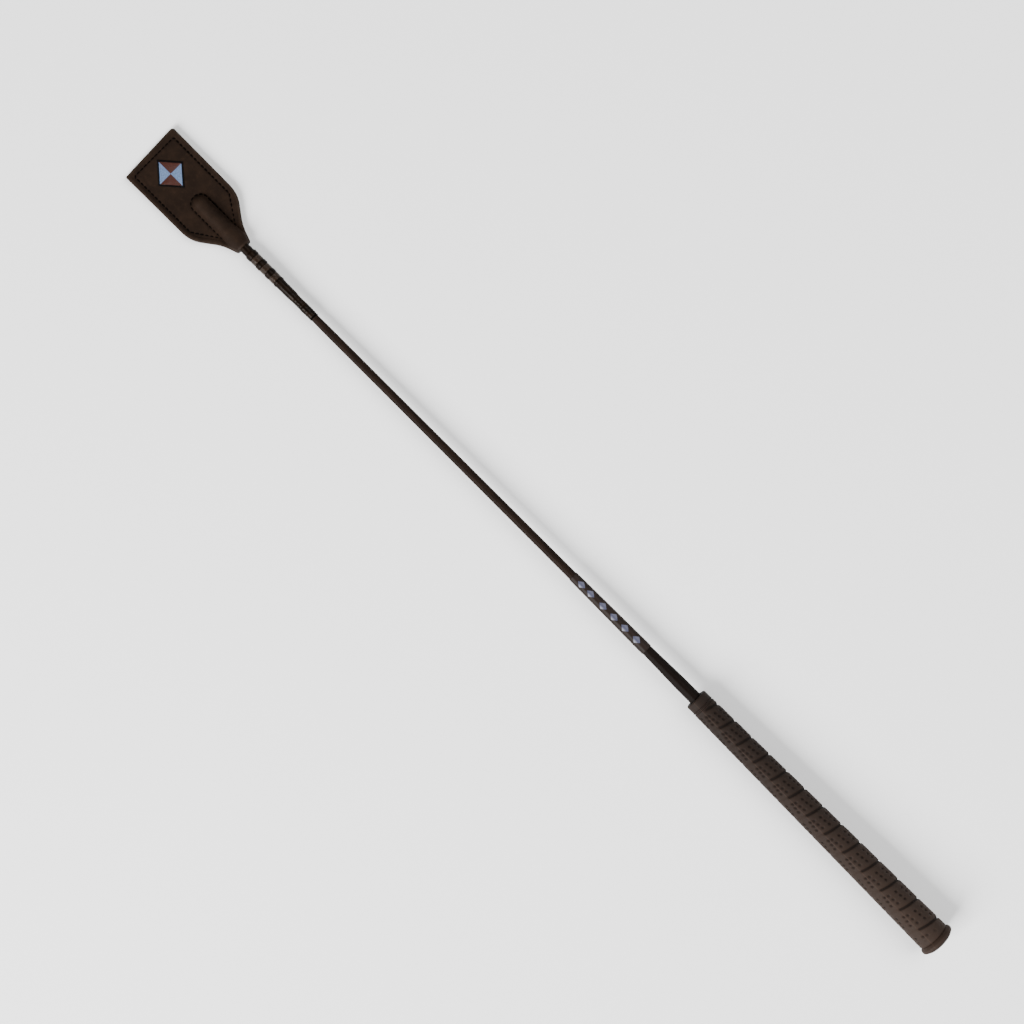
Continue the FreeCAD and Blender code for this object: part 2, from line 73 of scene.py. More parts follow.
CAP_CORNERS = [
    (0.0, 0.0, 0.0), (0.0, 8.6, 1.0), (1.5, 11.15, 1.3), (3.3, 11.15, 1.0), (4.9, 9.5, 0.5),
    (5.12, 8.6, 0.1), (5.12, 7.0, 0.0), (17.5, 7.0, 0.4), (17.5, 0.0, 0.0),
]
CAP_SEEN = 5.0
CAP_DENTS = 0.03
GRIP_START = 5.2
GRIP_SKIN = [(5.9, 10.05), (193.0, 7.2)]
GRIP_ROW = 0.385
GRIP_COLUMNS = 140
WRAP_FADE_IN = (5.9, 12.0)
WRAP_FADE_OUT = (192.0, 193.0)
GRIP_FRONT = [
    (193.25, 7.15, 0.1), (193.5, 6.72, 0.15), (194.05, 6.72, 0.15), (194.35, 7.22, 0.18),
    (194.75, 7.22, 0.18), (194.95, 6.75, 0.1), (195.15, 6.75, 0.1), (195.4, 7.0, 0.15),
    (200.3, 7.0, 0.9), (200.3, 4.7, 0.4), (197.3, 4.7, 0.3), (197.3, 4.1, 0.2), (175.6, 4.1, 0.0),
    (175.6, 4.9, 0.0), (18.1, 7.02, 0.0), (GRIP_START, 7.02, 0.2), (GRIP_START, 9.75, 0.25),
]
SHAFT_LINE = [
    (177.0, 4.0), (213.0, 4.0), (240.5, 3.3), (301.0, 2.76), (440.0, 2.57), (504.0, 2.55),
    (514.0, 2.42), (608.0, 2.25),
]
SHAFT_BORE = [
    (608.0, 1.92), (504.0, 2.12), (440.0, 2.12), (301.0, 2.37), (240.5, 2.97), (213.0, 3.67),
    (177.0, 3.72),
]
SHAFT_SHOWN = [(196.0, 241.5), (300.0, 514.6)]
SHAFT_HIDDEN = [(177.0, 196.0, 4.0), (242.5, 300.0, 6.0), (516.0, 606.0, 9.0)]
BRAID_ROW = 0.275
BRAID_COLUMNS = 96
BRAID_FADE = 1.0
SLEEVE_LINE = [(240.5, 3.66), (301.0, 3.06)]
SLEEVE_THICKNESS = 0.34
SLEEVE_ROUND = 0.18
SLEEVE_CREASES = 0.022
PRINT_THICKNESS = 0.1
PRINT_SPOTS = [249.0, 258.5, 267.5, 276.5, 286.5, 294.0]
KEEPER_CORNERS = [
    (514.2, 2.36, 0.0), (514.2, 2.72, 0.12), (521.6, 2.88, 0.5), (522.6, 2.76, 0.5),
    (529.0, 2.78, 2.0), (532.0, 3.05, 2.0), (541.2, 3.12, 0.4), (541.9, 3.5, 0.5), (543.5, 3.5, 0.45),
    (543.6, 2.8, 0.0), (547.8, 2.8, 0.0), (547.9, 3.55, 0.45), (550.85, 3.55, 0.45),
    (550.95, 2.8, 0.0), (555.15, 2.8, 0.0), (555.25, 3.62, 0.45), (558.2, 3.62, 0.45),
    (558.3, 2.8, 0.0), (562.5, 2.8, 0.0), (562.6, 3.7, 0.45), (565.6, 3.7, 0.5), (566.3, 3.15, 0.4),
    (581.0, 3.15, 0.4), (581.0, 2.34, 0.0),
]
KEEPER_START = 514.0
KEEPER_INSIDE = 2.5
KEEPER_WRINKLES = 0.04
KEEPER_LUMPS = 0.03
SWIRL_PITCH = 2.3
SWIRL_DEPTH = 0.02
WRINKLES_START = (514.6, 516.5)
WRINKLES_END = (527.0, 531.0)
BAND_SPANS = {
    "whipping_band_1": (543.64, 547.76, 3.38),
    "whipping_band_2": (550.99, 555.11, 3.42),
    "whipping_band_3": (558.34, 562.46, 3.5),
}
END_RING_SPAN = (512.98, 514.18, 2.8)

MOUTH = 571.0
FREE_END = 650.0
FREE_END_SKEW = 0.7
FLAP_SIDE = [
    (MOUTH, 4.9, 0.0), (581.0, 8.4, 30.0), (596.2, 19.7, 20.0), (FREE_END, 20.0, 0.0),
]
FLAP_HALF = 20.0
EDGE_ROWS = np.array([0.0, 0.03, 0.1, 0.22, 0.4, 0.65, 0.95])
INNER_START = 1.3
GRID_STEP = 0.36
SKEW_START = 638.0
MOUTH_CORNER = 1.1
FREE_CORNERS = {-1: 2.0, 1: 0.8}
MIDDLE = -1.85
RIM_RISE = 1.9
RIM_SLOPE = 0.9
FIELD_DROP = 0.35
LEATHER_WAVES = 0.05
LEATHER_LUMPS = 0.018
CHANNEL_HALF = 0.62
CHANNEL_DEPTH = 0.26
PULL_HALF = 1.7
PULL_HEIGHT = 0.05
NECK_LINE = [(MOUTH, 4.55), (588.0, 3.6)]
NECK_HALF = [(MOUTH, 4.85), (577.0, 6.2), (582.5, 5.5), (592.0, 4.6)]
NECK_FADE = (584.0, 593.0)
NECK_SINK = 2.5
NECK_FOOT = 0.6
NECK_SOFTNESS = 0.9
TONGUE_HALF = 5.1
TONGUE_RISE = 3.6
TONGUE_END = 606.9
TONGUE_SOFTNESS = 1.1
TONGUE_WOBBLE = 0.08
RUBBED_RISE = (RIM_RISE + 1.6, RIM_RISE + 3.5)
TUNNEL = [(581.4, 3.24), (608.4, 2.36)]
INNER_ROUND = 0.3
THINNEST = 0.12
BURIED = -5.0
EDGE_TONE = (0.7, 1.9)
EDGE_SEAM = [
    (584.0, -5.6, 0.0), (599.5, -16.0, 3.0), (645.2, -16.0, 1.2), (645.2, 16.0, 1.2),
    (599.5, 16.0, 3.0), (584.0, 5.6, 0.0),
]
TONGUE_SEAM = [
    (584.0, -5.6, 0.0), (612.5, -5.6, 5.59), (612.5, 5.6, 5.59), (584.0, 5.6, 0.0),
]
STITCH_SINK = 0.12
KNOT = [(601.2, -5.75), (602.6, -5.35), (603.6, -5.85), (604.6, -5.3)]
KNOT_RISE = 0.22
LOZENGE_MIDDLE = 631.4
LOZENGE_LONG = 11.5
LOZENGE_WIDE = 10.0
LOZENGE_BORDER = 1.1
SATIN_RISE = 0.1
SATIN_OVERLAP = 0.92
BORDER_LAP = 1.05
SHORTEST_SATIN = 0.5


def length_property(label, words, value):
    """A length that a user may change."""
    return bpy.props.FloatProperty(name=label, description=words, default=value, unit="LENGTH")


def colour_property(label, words, value):
    """A colour that a user may change."""
    return bpy.props.FloatVectorProperty(
        name=label, description=words, subtype="COLOR", size=3, min=0.0, max=1.0, default=value
    )


class GripSizes(bpy.types.PropertyGroup):
    """Sizes of the moulded wrap on the grip."""

    groove_depth: length_property("Groove Depth", "How deep the spiral groove is", 0.00062)
    groove_width: length_property("Groove Width", "How wide the spiral groove is", 0.0015)
    first_pitch: length_property("First Turn", "Length of the turn nearest the mouth", 0.0136)
    pitch_growth: length_property("Turn Growth", "How much longer each turn is", 0.0002)
    dimple_depth: length_property("Dimple Depth", "How deep each dimple is", 0.0005)
    dimple_width: length_property("Dimple Width", "How wide each dimple is", 0.0023)


class ShaftSizes(bpy.types.PropertyGroup):
    """Sizes of the thread on the shaft."""

    strands: bpy.props.IntProperty(
        name="Strands", description="Threads that run each way round the shaft", default=16, min=8
    )
    strand_step: length_property("Strand Step", "Distance between threads along the shaft", 0.0012)
    strand_relief: length_property("Strand Relief", "Depth of the gaps between threads", 0.0002)
    whipping_thread: length_property("Whipping Thread", "Thickness of the thread in the bands", 0.00042)
    ring_thread: length_property("Ring Thread", "Thickness of the thread in the end ring", 0.0004)
    mark_length: length_property("Mark Length", "Length of each printed lozenge", 0.0058)
    mark_width: length_property("Mark Width", "Width of each printed lozenge", 0.0051)


class FlapSizes(bpy.types.PropertyGroup):
    """Sizes of the leather flap and its stitching."""

    edge_round: length_property("Edge Rounding", "How far the leather's edge is rounded", 0.0007)
    rim_width: length_property("Rim Width", "Width of the raised rim", 0.0022)
    stitch_pitch: length_property("Stitch Pitch", "Distance from one stitch to the next", 0.0029)
    stitch_length: length_property("Stitch Length", "Length of each stitch that shows", 0.0020)
    sewing_thread: length_property("Sewing Thread", "Thickness of the sewing thread", 0.00078)
    satin_thread: length_property("Satin Thread", "Width of each embroidery thread", 0.0004)


class CropColours(bpy.types.PropertyGroup):
    """Colours of the crop."""

    rubber: colour_property("Rubber", "Grip and cap", srgb(33, 23, 17))
    shaft: colour_property("Shaft Thread", "Thread over the rod", srgb(23, 14, 9))
    sleeve: colour_property("Sleeve", "Printed sleeve", srgb(27, 19, 15))
    print_ink: colour_property("Print", "Marks on the sleeve", srgb(48, 49, 72))
    lacquer: colour_property("Lacquer", "Glossy sleeve at the flap", srgb(13, 7, 4))
    band: colour_property("Bands", "Whipping bands", srgb(38, 28, 21))
    leather: colour_property("Leather", "Flap leather", srgb(26, 17, 11))
    leather_edge: colour_property("Leather Edge", "Burnished edge of the leather", srgb(38, 28, 21))
    sewing: colour_property("Sewing Thread", "Stitches", srgb(3, 2, 2))
    light_thread: colour_property("Light Thread", "Light embroidery", srgb(86, 106, 138))
    rust_thread: colour_property("Rust Thread", "Rust embroidery", srgb(55, 21, 11))
    border_thread: colour_property("Border Thread", "Outline of the embroidery", srgb(8, 6, 6))
    floor: colour_property("Floor", "Floor", srgb(247, 247, 247))


# Wiring of nodes


def pick(sockets, key):
    """The socket at a place, or of an identifier or a name."""
    if isinstance(key, int):
        return sockets[key]
    for socket in sockets:
        if socket.identifier == key:
            return socket
    return next(socket for socket in sockets if socket.name == key and socket.enabled)


class Wire:
    """An output socket of a node tree; arithmetic on it adds Math nodes."""

    def __init__(self, graph, socket):
        self.graph = graph
        self.socket = socket

    def math(self, operation, *others):
        return self.graph.math(operation, self, *others)

    def other(self, key):
        """Another output of the same node."""
        return Wire(self.graph, pick(self.socket.node.outputs, key))

    def __add__(self, other):
        return self.math("ADD", other)

    __radd__ = __add__

    def __sub__(self, other):
        return self.math("SUBTRACT", other)

    def __rsub__(self, other):
        return self.graph.math("SUBTRACT", other, self)

    def __mul__(self, other):
        return self.math("MULTIPLY", other)

    def __truediv__(self, other):
        return self.math("DIVIDE", other)

    def __abs__(self):
        return self.math("ABSOLUTE")

    def sine(self):
        return self.math("SINE")

    def cosine(self):
        return self.math("COSINE")

    def arc_cosine(self):
        return self.math("ARCCOSINE")

    def turn_from(self, across):
        """The angle of a place at this height and that distance across."""
        return self.math("ARCTAN2", across)

    def floor(self):
        return self.math("FLOOR")

    def root(self):
        return self.math("SQRT")

    def nearest(self):
        return self.math("ROUND")

    def least(self, other):
        return self.math("MINIMUM", other)

    def most(self, other):
        return self.math("MAXIMUM", other)

    def beyond(self, other):
        return self.math("GREATER_THAN", other)

    def ease(self, low, high):
        """From 0 at low to 1 at high, smoothly."""
        return self.graph.add(
            "ShaderNodeMapRange",
            {"interpolation_type": "SMOOTHSTEP"},
            {"Value": self, "From Min": low, "From Max": high, "To Min": 0.0, "To Max": 1.0},
        )


class Graph:
    """A node tree that is being wired."""

    def __init__(self, tree):
        self.tree = tree

    def add(self, kind, settings=None, values=None, output=0):
        """A node of this type: its settings first, then the values and links of its sockets."""
        node = self.tree.nodes.new(kind)
        for name, value in (settings or {}).items():
            if name == "stops":
                self.set_stops(node.color_ramp.elements, value)
            else:
                setattr(node, name, value)
        for key, value in (values or {}).items():
            socket = pick(node.inputs, key)
            for item in value if isinstance(value, list) else [value]:
                if isinstance(item, Wire):
                    self.tree.links.new(item.socket, socket)
                elif socket.type == "RGBA" and len(item) == 3:
                    socket.default_value = (*item, 1.0)
                else:
                    socket.default_value = item
        return Wire(self, pick(node.outputs, output)) if node.outputs else node

    @staticmethod
    def set_stops(elements, stops):
        """The stops of a ramp as pairs of place and colour."""
        while len(elements) < len(stops):
            elements.new(1.0)
        for element, (place, colour) in zip(elements, stops):
            element.position = place
            element.color = (*colour, 1.0)

    def math(self, operation, *operands):
        """A Math node with these operands in their order."""
        return self.add("ShaderNodeMath", {"operation": operation}, dict(enumerate(operands)))

    def vector(self, **parts):
        """A vector from its X, Y and Z."""
        return self.add("ShaderNodeCombineXYZ", None, parts)

    def parts(self, place):
        """The X, Y and Z of a place."""
        along = self.add("ShaderNodeSeparateXYZ", None, {"Vector": place}, "X")
        return along, along.other("Y"), along.other("Z")

    def blend(self, first, second, share):
        """A colour between two colours."""
        return self.add(
            "ShaderNodeMix",
            {"data_type": "RGBA"},
            {"Factor_Float": share, "A_Color": first, "B_Color": second},
            "Result_Color",
        )

    def noise(self, place, scale, detail=2.0, rough=0.5):
        """Cloudy unevenness from 0 to 1 with this many lumps in a metre."""
        values = {"Vector": place, "Scale": scale, "Detail": detail, "Roughness": rough}
        return self.add("ShaderNodeTexNoise", None, values)

    def stretched(self, place, along, across):
        """Object coordinates scaled along the crop and across it."""
        return self.add("ShaderNodeMapping", None, {"Vector": place, "Scale": (along, across, across)})

    def mark(self, name):
        """A number that is stored on the mesh."""
        return self.add("ShaderNodeAttribute", {"attribute_name": name}, None, "Fac")

    def bump(self, height, distance):
        """A normal from a height and the height's real size in metres."""
        return self.add("ShaderNodeBump", None, {"Height": height, "Distance": distance, "Strength": 1.0})


def finish_of(name, paint, *colours):
    """A material whose shader sockets come from paint."""
    material = bpy.data.materials.new(name)
    material.use_nodes = True
    material.node_tree.nodes.clear()
    graph = Graph(material.node_tree)
    place = graph.add("ShaderNodeTexCoord", None, None, "Object")
    shader = graph.add("ShaderNodeBsdfPrincipled", None, paint(graph, place, *colours))
    graph.add("ShaderNodeOutputMaterial", None, {"Surface": shader})
    return material


def tinted(colour, share):
    """A colour made darker or lighter by a share."""
    return tuple(min(1.0, value * share) for value in colour)


# Finishes

DUSTY_RUBBER = srgb(41, 31, 25)
HANDLED_SPAN = (-0.02, 0.2)
DARK_SHAFT_SPAN = (0.22, 0.32)
LACQUER_TURN = 0.0006
PLY_TURN = 0.0011
WARM_SHINE = (1.0, 0.82, 0.7, 1.0)
BROWN_SHINE = (1.0, 0.8, 0.68, 1.0)


def moulded_rubber(graph, place, colour):
    """Matte rubber with a fine grain, paler wear, a painted highlight on the raised parting line and
    painted shade in what is sunk.
    """
    sunk = graph.mark("sunk")
    clouds = graph.noise(place, 140.0, 3.0, 0.6)
    grain = graph.noise(place, 5200.0, 2.0, 0.6)
    scuffs = graph.noise(graph.stretched(place, 0.35, 1.0), 1400.0, 3.0, 0.65)
    along, across, up = graph.parts(place)
    handled = 1.0 - along.ease(*HANDLED_SPAN)
    toned = graph.blend(tinted(colour, 0.78), tinted(colour, 1.2), clouds.ease(0.3, 0.72))
    dusty = graph.blend(tinted(colour, 0.5), DUSTY_RUBBER, handled)
    shaded = graph.blend(toned, dusty, 0.7)
    worn = graph.blend(shaded, tinted(colour, 1.9), scuffs.ease(0.6, 0.8) * 0.35)
    line = up.turn_from(across)
    seam_gap = abs((line - PARTING_TURN).sine())
    seam = (1.0 - seam_gap.ease(0.012, 0.03)) * (1.0 - sunk) * along.ease(0.0012, 0.0018)
    # Painted highlight: the raised parting line is made lighter.
    seam_lit = graph.blend(worn, tinted(colour, 2.2), seam * 0.6)
    # Painted shade: the grooves and dimples are darkened as if shade fell in them.
    base = graph.blend(seam_lit, tinted(colour, 0.2), sunk.ease(0.3, 0.95) * 0.8)
    height = grain * 0.4 + scuffs * 0.3 + seam * 0.9
    return {
        "Base Color": base,
        "Roughness": clouds * 0.14 + 0.6 + sunk * 0.14,
        "Normal": graph.bump(height, 0.00006),
        "Specular IOR Level": 0.1,
    }


def lacquered_thread(graph, place, colour):
    """Braided thread under a thin lacquer: fibres along each strand, a painted sheen on the strands that
    lean one way and painted shade in the gaps between.
    """
    height = graph.mark("strand")
    lean = graph.mark("lean")
    fibres = graph.noise(graph.stretched(place, 1.0, 2.2), 5200.0, 2.0, 0.6)
    patches = graph.noise(graph.stretched(place, 0.25, 1.0), 420.0, 3.0, 0.6)
    tone = graph.blend(tinted(colour, 0.7), tinted(colour, 1.45), patches.ease(0.3, 0.7))
    # Painted sheen: the strands that lean one way are made lighter.
    tone = graph.blend(tone, tinted(colour, 1.9), lean * fibres * 0.7)
    along = graph.parts(place)[0]
    tone = graph.blend(tinted(colour, 0.5), tone, along.ease(*DARK_SHAFT_SPAN))
    # Painted shade: the gaps between strands are darkened.
    base = graph.blend(tinted(colour, 0.22), tone, height.ease(0.25, 0.8))
    return {
        "Base Color": base,
        "Roughness": fibres * 0.18 + 0.42,
        "Normal": graph.bump(fibres, 0.00005),
        "Specular IOR Level": 0.04,
    }


def printed_film(graph, place, colour):
    """Matte heat-shrunk film with the braid showing faintly through it as creases that carry painted shade.
    """
    clouds = graph.noise(graph.stretched(place, 0.4, 1.0), 520.0, 3.0, 0.6)
    creases = graph.noise(graph.stretched(place, 2.4, 0.5), 900.0, 2.0, 0.5)
    grain = graph.noise(place, 6500.0, 2.0, 0.6)
    toned = graph.blend(tinted(colour, 0.75), tinted(colour, 1.25), clouds.ease(0.3, 0.7))
    # Painted shade: the creases are darkened.
    base = graph.blend(toned, tinted(colour, 0.5), creases.ease(0.62, 0.8) * 0.5)
    return {
        "Base Color": base,
        "Roughness": clouds * 0.15 + 0.4,
        "Normal": graph.bump(creases * 0.7 + grain * 0.3, 0.00006),
        "Specular IOR Level": 0.07,
    }


def stamped_ink(graph, place, colour):
    """Ink that is slightly worn through in specks."""
    wear = graph.noise(place, 2600.0, 3.0, 0.7)
    base = graph.blend(colour, tinted(colour, 0.45), wear.ease(0.52, 0.68))
    return {"Base Color": base, "Roughness": wear * 0.2 + 0.35, "Normal": graph.bump(wear, 0.00002)}


def glossy_lacquer(graph, place, colour):
    """Thick glossy lacquer over bound thread, with faint turns under it."""
    along = graph.parts(place)[0]
    turns = (along * (FULL_TURN / LACQUER_TURN)).sine() * 0.5 + 0.5
    pools = graph.noise(graph.stretched(place, 0.6, 1.0), 380.0, 3.0, 0.6)
    base = graph.blend(tinted(colour, 0.6), tinted(colour, 2.2), pools.ease(0.42, 0.75))
    return {
        "Base Color": base,
        "Roughness": pools * 0.14 + 0.3,
        "Normal": graph.bump(turns * 0.3 + pools * 0.7, 0.00003),
        "Specular IOR Level": 0.045,
        "Specular Tint": BROWN_SHINE,
        "Coat Weight": 0.03,
        "Coat Roughness": 0.06,
    }


def twisted_thread(graph, place, colour, gloss):
    """Thread of twisted plies with fine fibres and painted shade between the plies."""
    along = graph.mark("along")
    around = graph.mark("around")
    plies = ((along / PLY_TURN + around * 2.0) * FULL_TURN).sine() * 0.5 + 0.5
    fibres = graph.noise(place, 7000.0, 2.0, 0.6)
    shade = graph.noise(place, 700.0, 2.0, 0.5)
    toned = graph.blend(tinted(colour, 0.75), tinted(colour, 1.2), shade.ease(0.3, 0.7))
    # Painted shade: the valleys between the plies are darkened.
    base = graph.blend(toned, tinted(colour, 0.4), (1.0 - plies).ease(0.55, 1.0) * 0.7)
    return {
        "Base Color": base,
        "Roughness": fibres * 0.16 + (0.16 if gloss else 0.5),
        "Normal": graph.bump(plies * 0.7 + fibres * 0.3, 0.00006),
        "Coat Weight": 0.12 if gloss else 0.0,
        "Coat Roughness": 0.08,
        "Specular IOR Level": 0.16 if gloss else 0.02,
        "Specular Tint": WARM_SHINE,
    }


def satin_thread(graph, place, colour, shine):
    """Shiny embroidery thread, each laid strand a little different."""
    shade = graph.noise(place, 1500.0, 1.0, 0.5)
    fibres = graph.noise(place, 9000.0, 2.0, 0.6)
    base = graph.blend(tinted(colour, 0.72), tinted(colour, 1.15), shade.ease(0.3, 0.7))
    return {
        "Base Color": base,
        "Roughness": fibres * 0.2 + 0.3,
        "Normal": graph.bump(fibres, 0.00004),
        "Specular IOR Level": shine,
    }


def nubuck(graph, place, colour, edge_colour):
    """Oiled nubuck: mottled, with a fine nap, pale burnished edges and painted shade in the stitch
    channels.
    """
    edge = graph.mark("edge")
    channel = graph.mark("channel")
    ridge = graph.mark("ridge")
    clouds = graph.noise(place, 95.0, 4.0, 0.62)
    blotches = graph.noise(place, 380.0, 3.0, 0.6)
    nap = graph.noise(place, 2600.0, 3.0, 0.7)
    pores = graph.add(
        "ShaderNodeTexVoronoi", {"feature": "F1"}, {"Vector": place, "Scale": 2300.0}, "Distance"
    )
    toned = graph.blend(tinted(colour, 0.78), tinted(colour, 1.25), clouds.ease(0.32, 0.7))
    spotted = graph.blend(toned, tinted(colour, 1.8), blotches.ease(0.52, 0.8) * 0.5)
    napped = graph.blend(spotted, tinted(colour, 0.45), nap.ease(0.48, 0.72) * 0.55)
    rubbed = graph.blend(napped, tinted(colour, 1.5), ridge * nap.ease(0.35, 0.7) * 0.4)
    # Painted shade: the sunken stitch channel is darkened.
    channel_shaded = graph.blend(rubbed, tinted(colour, 0.5), channel * 0.12)
    base = graph.blend(channel_shaded, edge_colour, edge * blotches.ease(0.2, 0.7) * 0.85)
    return {
        "Base Color": base,
        "Roughness": 0.78 - edge * 0.2 - ridge * 0.12 + nap * 0.12,
        "Normal": graph.bump(nap * 0.55 + pores * 0.45, 0.00011),
        "Specular IOR Level": 0.06,
    }


def glass_fibre(graph, place):
    """Pale pultruded rod with straight fibres."""
    streaks = graph.noise(graph.stretched(place, 0.02, 1.0), 4200.0, 3.0, 0.6)
    base = graph.blend(srgb(196, 190, 160), srgb(232, 228, 206), streaks.ease(0.35, 0.65))
    return {"Base Color": base, "Roughness": 0.3 + streaks * 0.15, "Normal": graph.bump(streaks, 0.00003)}


def plain_plastic(graph, place):
    """Grey build-up plastic with faint flow marks."""
    flow = graph.noise(graph.stretched(place, 0.3, 1.0), 300.0, 3.0, 0.5)
    base = graph.blend(srgb(58, 58, 60), srgb(82, 82, 84), flow.ease(0.3, 0.7))
    return {"Base Color": base, "Roughness": 0.4 + flow * 0.15, "Normal": graph.bump(flow, 0.00004)}


def fibre_board(graph, place):
    """Brown stiffener board with pressed fibres."""
    fibres = graph.noise(place, 2400.0, 4.0, 0.7)
    base = graph.blend(srgb(104, 78, 52), srgb(150, 120, 86), fibres.ease(0.3, 0.7))
    return {"Base Color": base, "Roughness": 0.75 + fibres * 0.15, "Normal": graph.bump(fibres, 0.00006)}


def pale_floor(graph, place, colour):
    """Plain pale board with a very faint unevenness."""
    clouds = graph.noise(place, 6.0, 2.0, 0.5)
    base = graph.blend(tinted(colour, 0.985), colour, clouds)
    return {"Base Color": base, "Roughness": 0.85}


# Meshes


def smooth_share(value, low, high):
    """From 0 at low to 1 at high, smoothly, for arrays."""
    share = np.clip((value - low) / (high - low), 0.0, 1.0)
    return share * share * (3.0 - 2.0 * share)


def read_line(places, line):
    """The second value of a line of pairs at these places."""
    return np.interp(places, *np.transpose(line))


def unevenness(first, second, wavelength, seed):
    """A smooth unevenness from about -1 to 1."""
    random = np.random.default_rng(seed)
    total = 0.0
    for _ in range(6):
        turn, phase = random.uniform(0.0, FULL_TURN, 2)
        length = wavelength * random.uniform(0.7, 1.4)
        distance = first * np.cos(turn) + second * np.sin(turn)
        total = total + np.sin(distance * FULL_TURN / length + phase)
    return total / 3.0


def rounded(corners, steps=6):
    """A line through corners of (x, y, radius), each turned with its radius."""
    line = [np.array(corners[0][:2])]
    for before, corner, after in zip(corners[:-2], corners[1:-1], corners[2:]):
        here = np.array(corner[:2])
        back = np.array(before[:2]) - here
        ahead = np.array(after[:2]) - here
        back = back / np.linalg.norm(back)
        ahead = ahead / np.linalg.norm(ahead)
        half = 0.5 * math.acos(max(-1.0, min(1.0, float(back @ ahead))))
        if corner[2] == 0.0 or half > 1.56:
            line.append(here)
            continue
        reach = corner[2] / math.tan(half)
        middle = (back + ahead) / np.linalg.norm(back + ahead) * corner[2] / math.sin(half) + here
        start = here + back * reach - middle
        end = here + ahead * reach - middle
        sweep = math.pi - 2.0 * half
        for share in np.linspace(0.0, 1.0, steps + 1):
            turned_to = math.sin((1.0 - share) * sweep) * start + math.sin(share * sweep) * end
            line.append(middle + turned_to / math.sin(sweep))
    line.append(np.array(corners[-1][:2]))
    return np.array(line)


def refined(line, step):
    """The same line with points no further apart than step."""
    found = [line[0]]
    for start, end in zip(line[:-1], line[1:]):
        count = max(1, math.ceil(np.linalg.norm(end - start) / step))
        found += [start + (end - start) * share for share in np.linspace(0.0, 1.0, count + 1)[1:]]
    return np.array(found)


def path_distance(along, across, path):
    """The distance of each place from a path, and how far along the path it is."""
    nearest = np.full(along.shape, np.inf)
    reached = np.zeros(along.shape)
    travelled = 0.0
    for (x0, y0), (x1, y1) in zip(path[:-1], path[1:]):
        dx, dy = x1 - x0, y1 - y0
        length = math.hypot(dx, dy)
        if length < 1e-9:
            continue
        share = np.clip(((along - x0) * dx + (across - y0) * dy) / length**2, 0.0, 1.0)
        gap = np.hypot(along - x0 - share * dx, across - y0 - share * dy)
        closer = gap < nearest
        nearest = np.where(closer, gap, nearest)
        reached = np.where(closer, travelled + share * length, reached)
        travelled += length
    return nearest, reached


def new_piece(name, points, faces, material=None, edges=(), marks=None, crisp=None):
    """An object from points in millimetres, smooth except where it turns sharply."""
    mesh = bpy.data.meshes.new(name)
    mesh.from_pydata((np.asarray(points, float).reshape(-1, 3) * MM).tolist(), list(edges), faces)
    for label, values in (marks or {}).items():
        layer = mesh.attributes.new(label, "FLOAT", "POINT")
        layer.data.foreach_set("value", np.asarray(values, np.float32).ravel())
    if faces:
        mesh.shade_smooth()
    if crisp is not None:
        mesh.set_sharp_from_angle(angle=math.radians(crisp))
    if material is not None:
        mesh.materials.append(material)
    piece = bpy.data.objects.new(name, mesh)
    bpy.context.scene.collection.objects.link(piece)
    return piece


def lathe(profile, columns, loop=False):
    """Points, faces and rings of a profile of (x, r) turned round the shaft; poles are closed."""
    profile = np.asarray(profile, float)
    rings = profile[profile[:, 1] > 1e-6]
    turn = np.tile(np.arange(columns) * FULL_TURN / columns, len(rings))
    along = np.repeat(rings[:, 0], columns)
    out = np.repeat(rings[:, 1], columns)
    points = np.column_stack([along, out * np.cos(turn), out * np.sin(turn)])
    index = np.arange(len(points)).reshape(len(rings), columns)
    here = index if loop else index[:-1]
    ahead = np.roll(index, -1, axis=0)[: len(here)]
    corners = [here, np.roll(here, -1, axis=1), np.roll(ahead, -1, axis=1), ahead]
    faces = np.stack(corners, axis=-1).reshape(-1, 4).tolist()
    for end, ring, step in ((profile[0], index[0], 1), (profile[-1], index[-1], -1)):
        if loop or end[1] > 1e-6:
            continue
        pole = len(points)
        points = np.vstack([points, [end[0], 0.0, 0.0]])
        following = np.roll(ring, -step)
        faces += [[pole, int(b), int(a)] for a, b in zip(ring, following)]
    return points, faces, turn, along


def pushed(points, distance):
    """Points moved away from the shaft's axis."""
    radius = np.maximum(np.hypot(points[:, 1], points[:, 2]), 1e-6)
    share = 1.0 + distance / radius
    return np.column_stack([points[:, 0], points[:, 1] * share, points[:, 2] * share])


# Geometry Nodes


def growing_tree(name, inputs):
    """A Geometry Nodes tree with named number inputs: its graph, its geometry and its inputs."""
    tree = bpy.data.node_groups.new(name, "GeometryNodeTree")
    tree.interface.new_socket("Geometry", in_out="INPUT", socket_type="NodeSocketGeometry")
    tree.interface.new_socket("Geometry", in_out="OUTPUT", socket_type="NodeSocketGeometry")
    for label, value in inputs.items():
        socket = tree.interface.new_socket(label, in_out="INPUT", socket_type="NodeSocketFloat")
        socket.default_value = value
    graph = Graph(tree)
    entry = graph.add("NodeGroupInput", None, None, "Geometry")
    return graph, entry, [entry.other(label) for label in inputs]


def end_tree(graph, geometry, material):
    """Makes the instances real and gives them their finish."""
    whole = graph.add("GeometryNodeRealizeInstances", None, {"Geometry": geometry})
    coated = graph.add("GeometryNodeSetMaterial", None, {"Geometry": whole, "Material": material})
    graph.add("NodeGroupOutput", None, {"Geometry": coated})


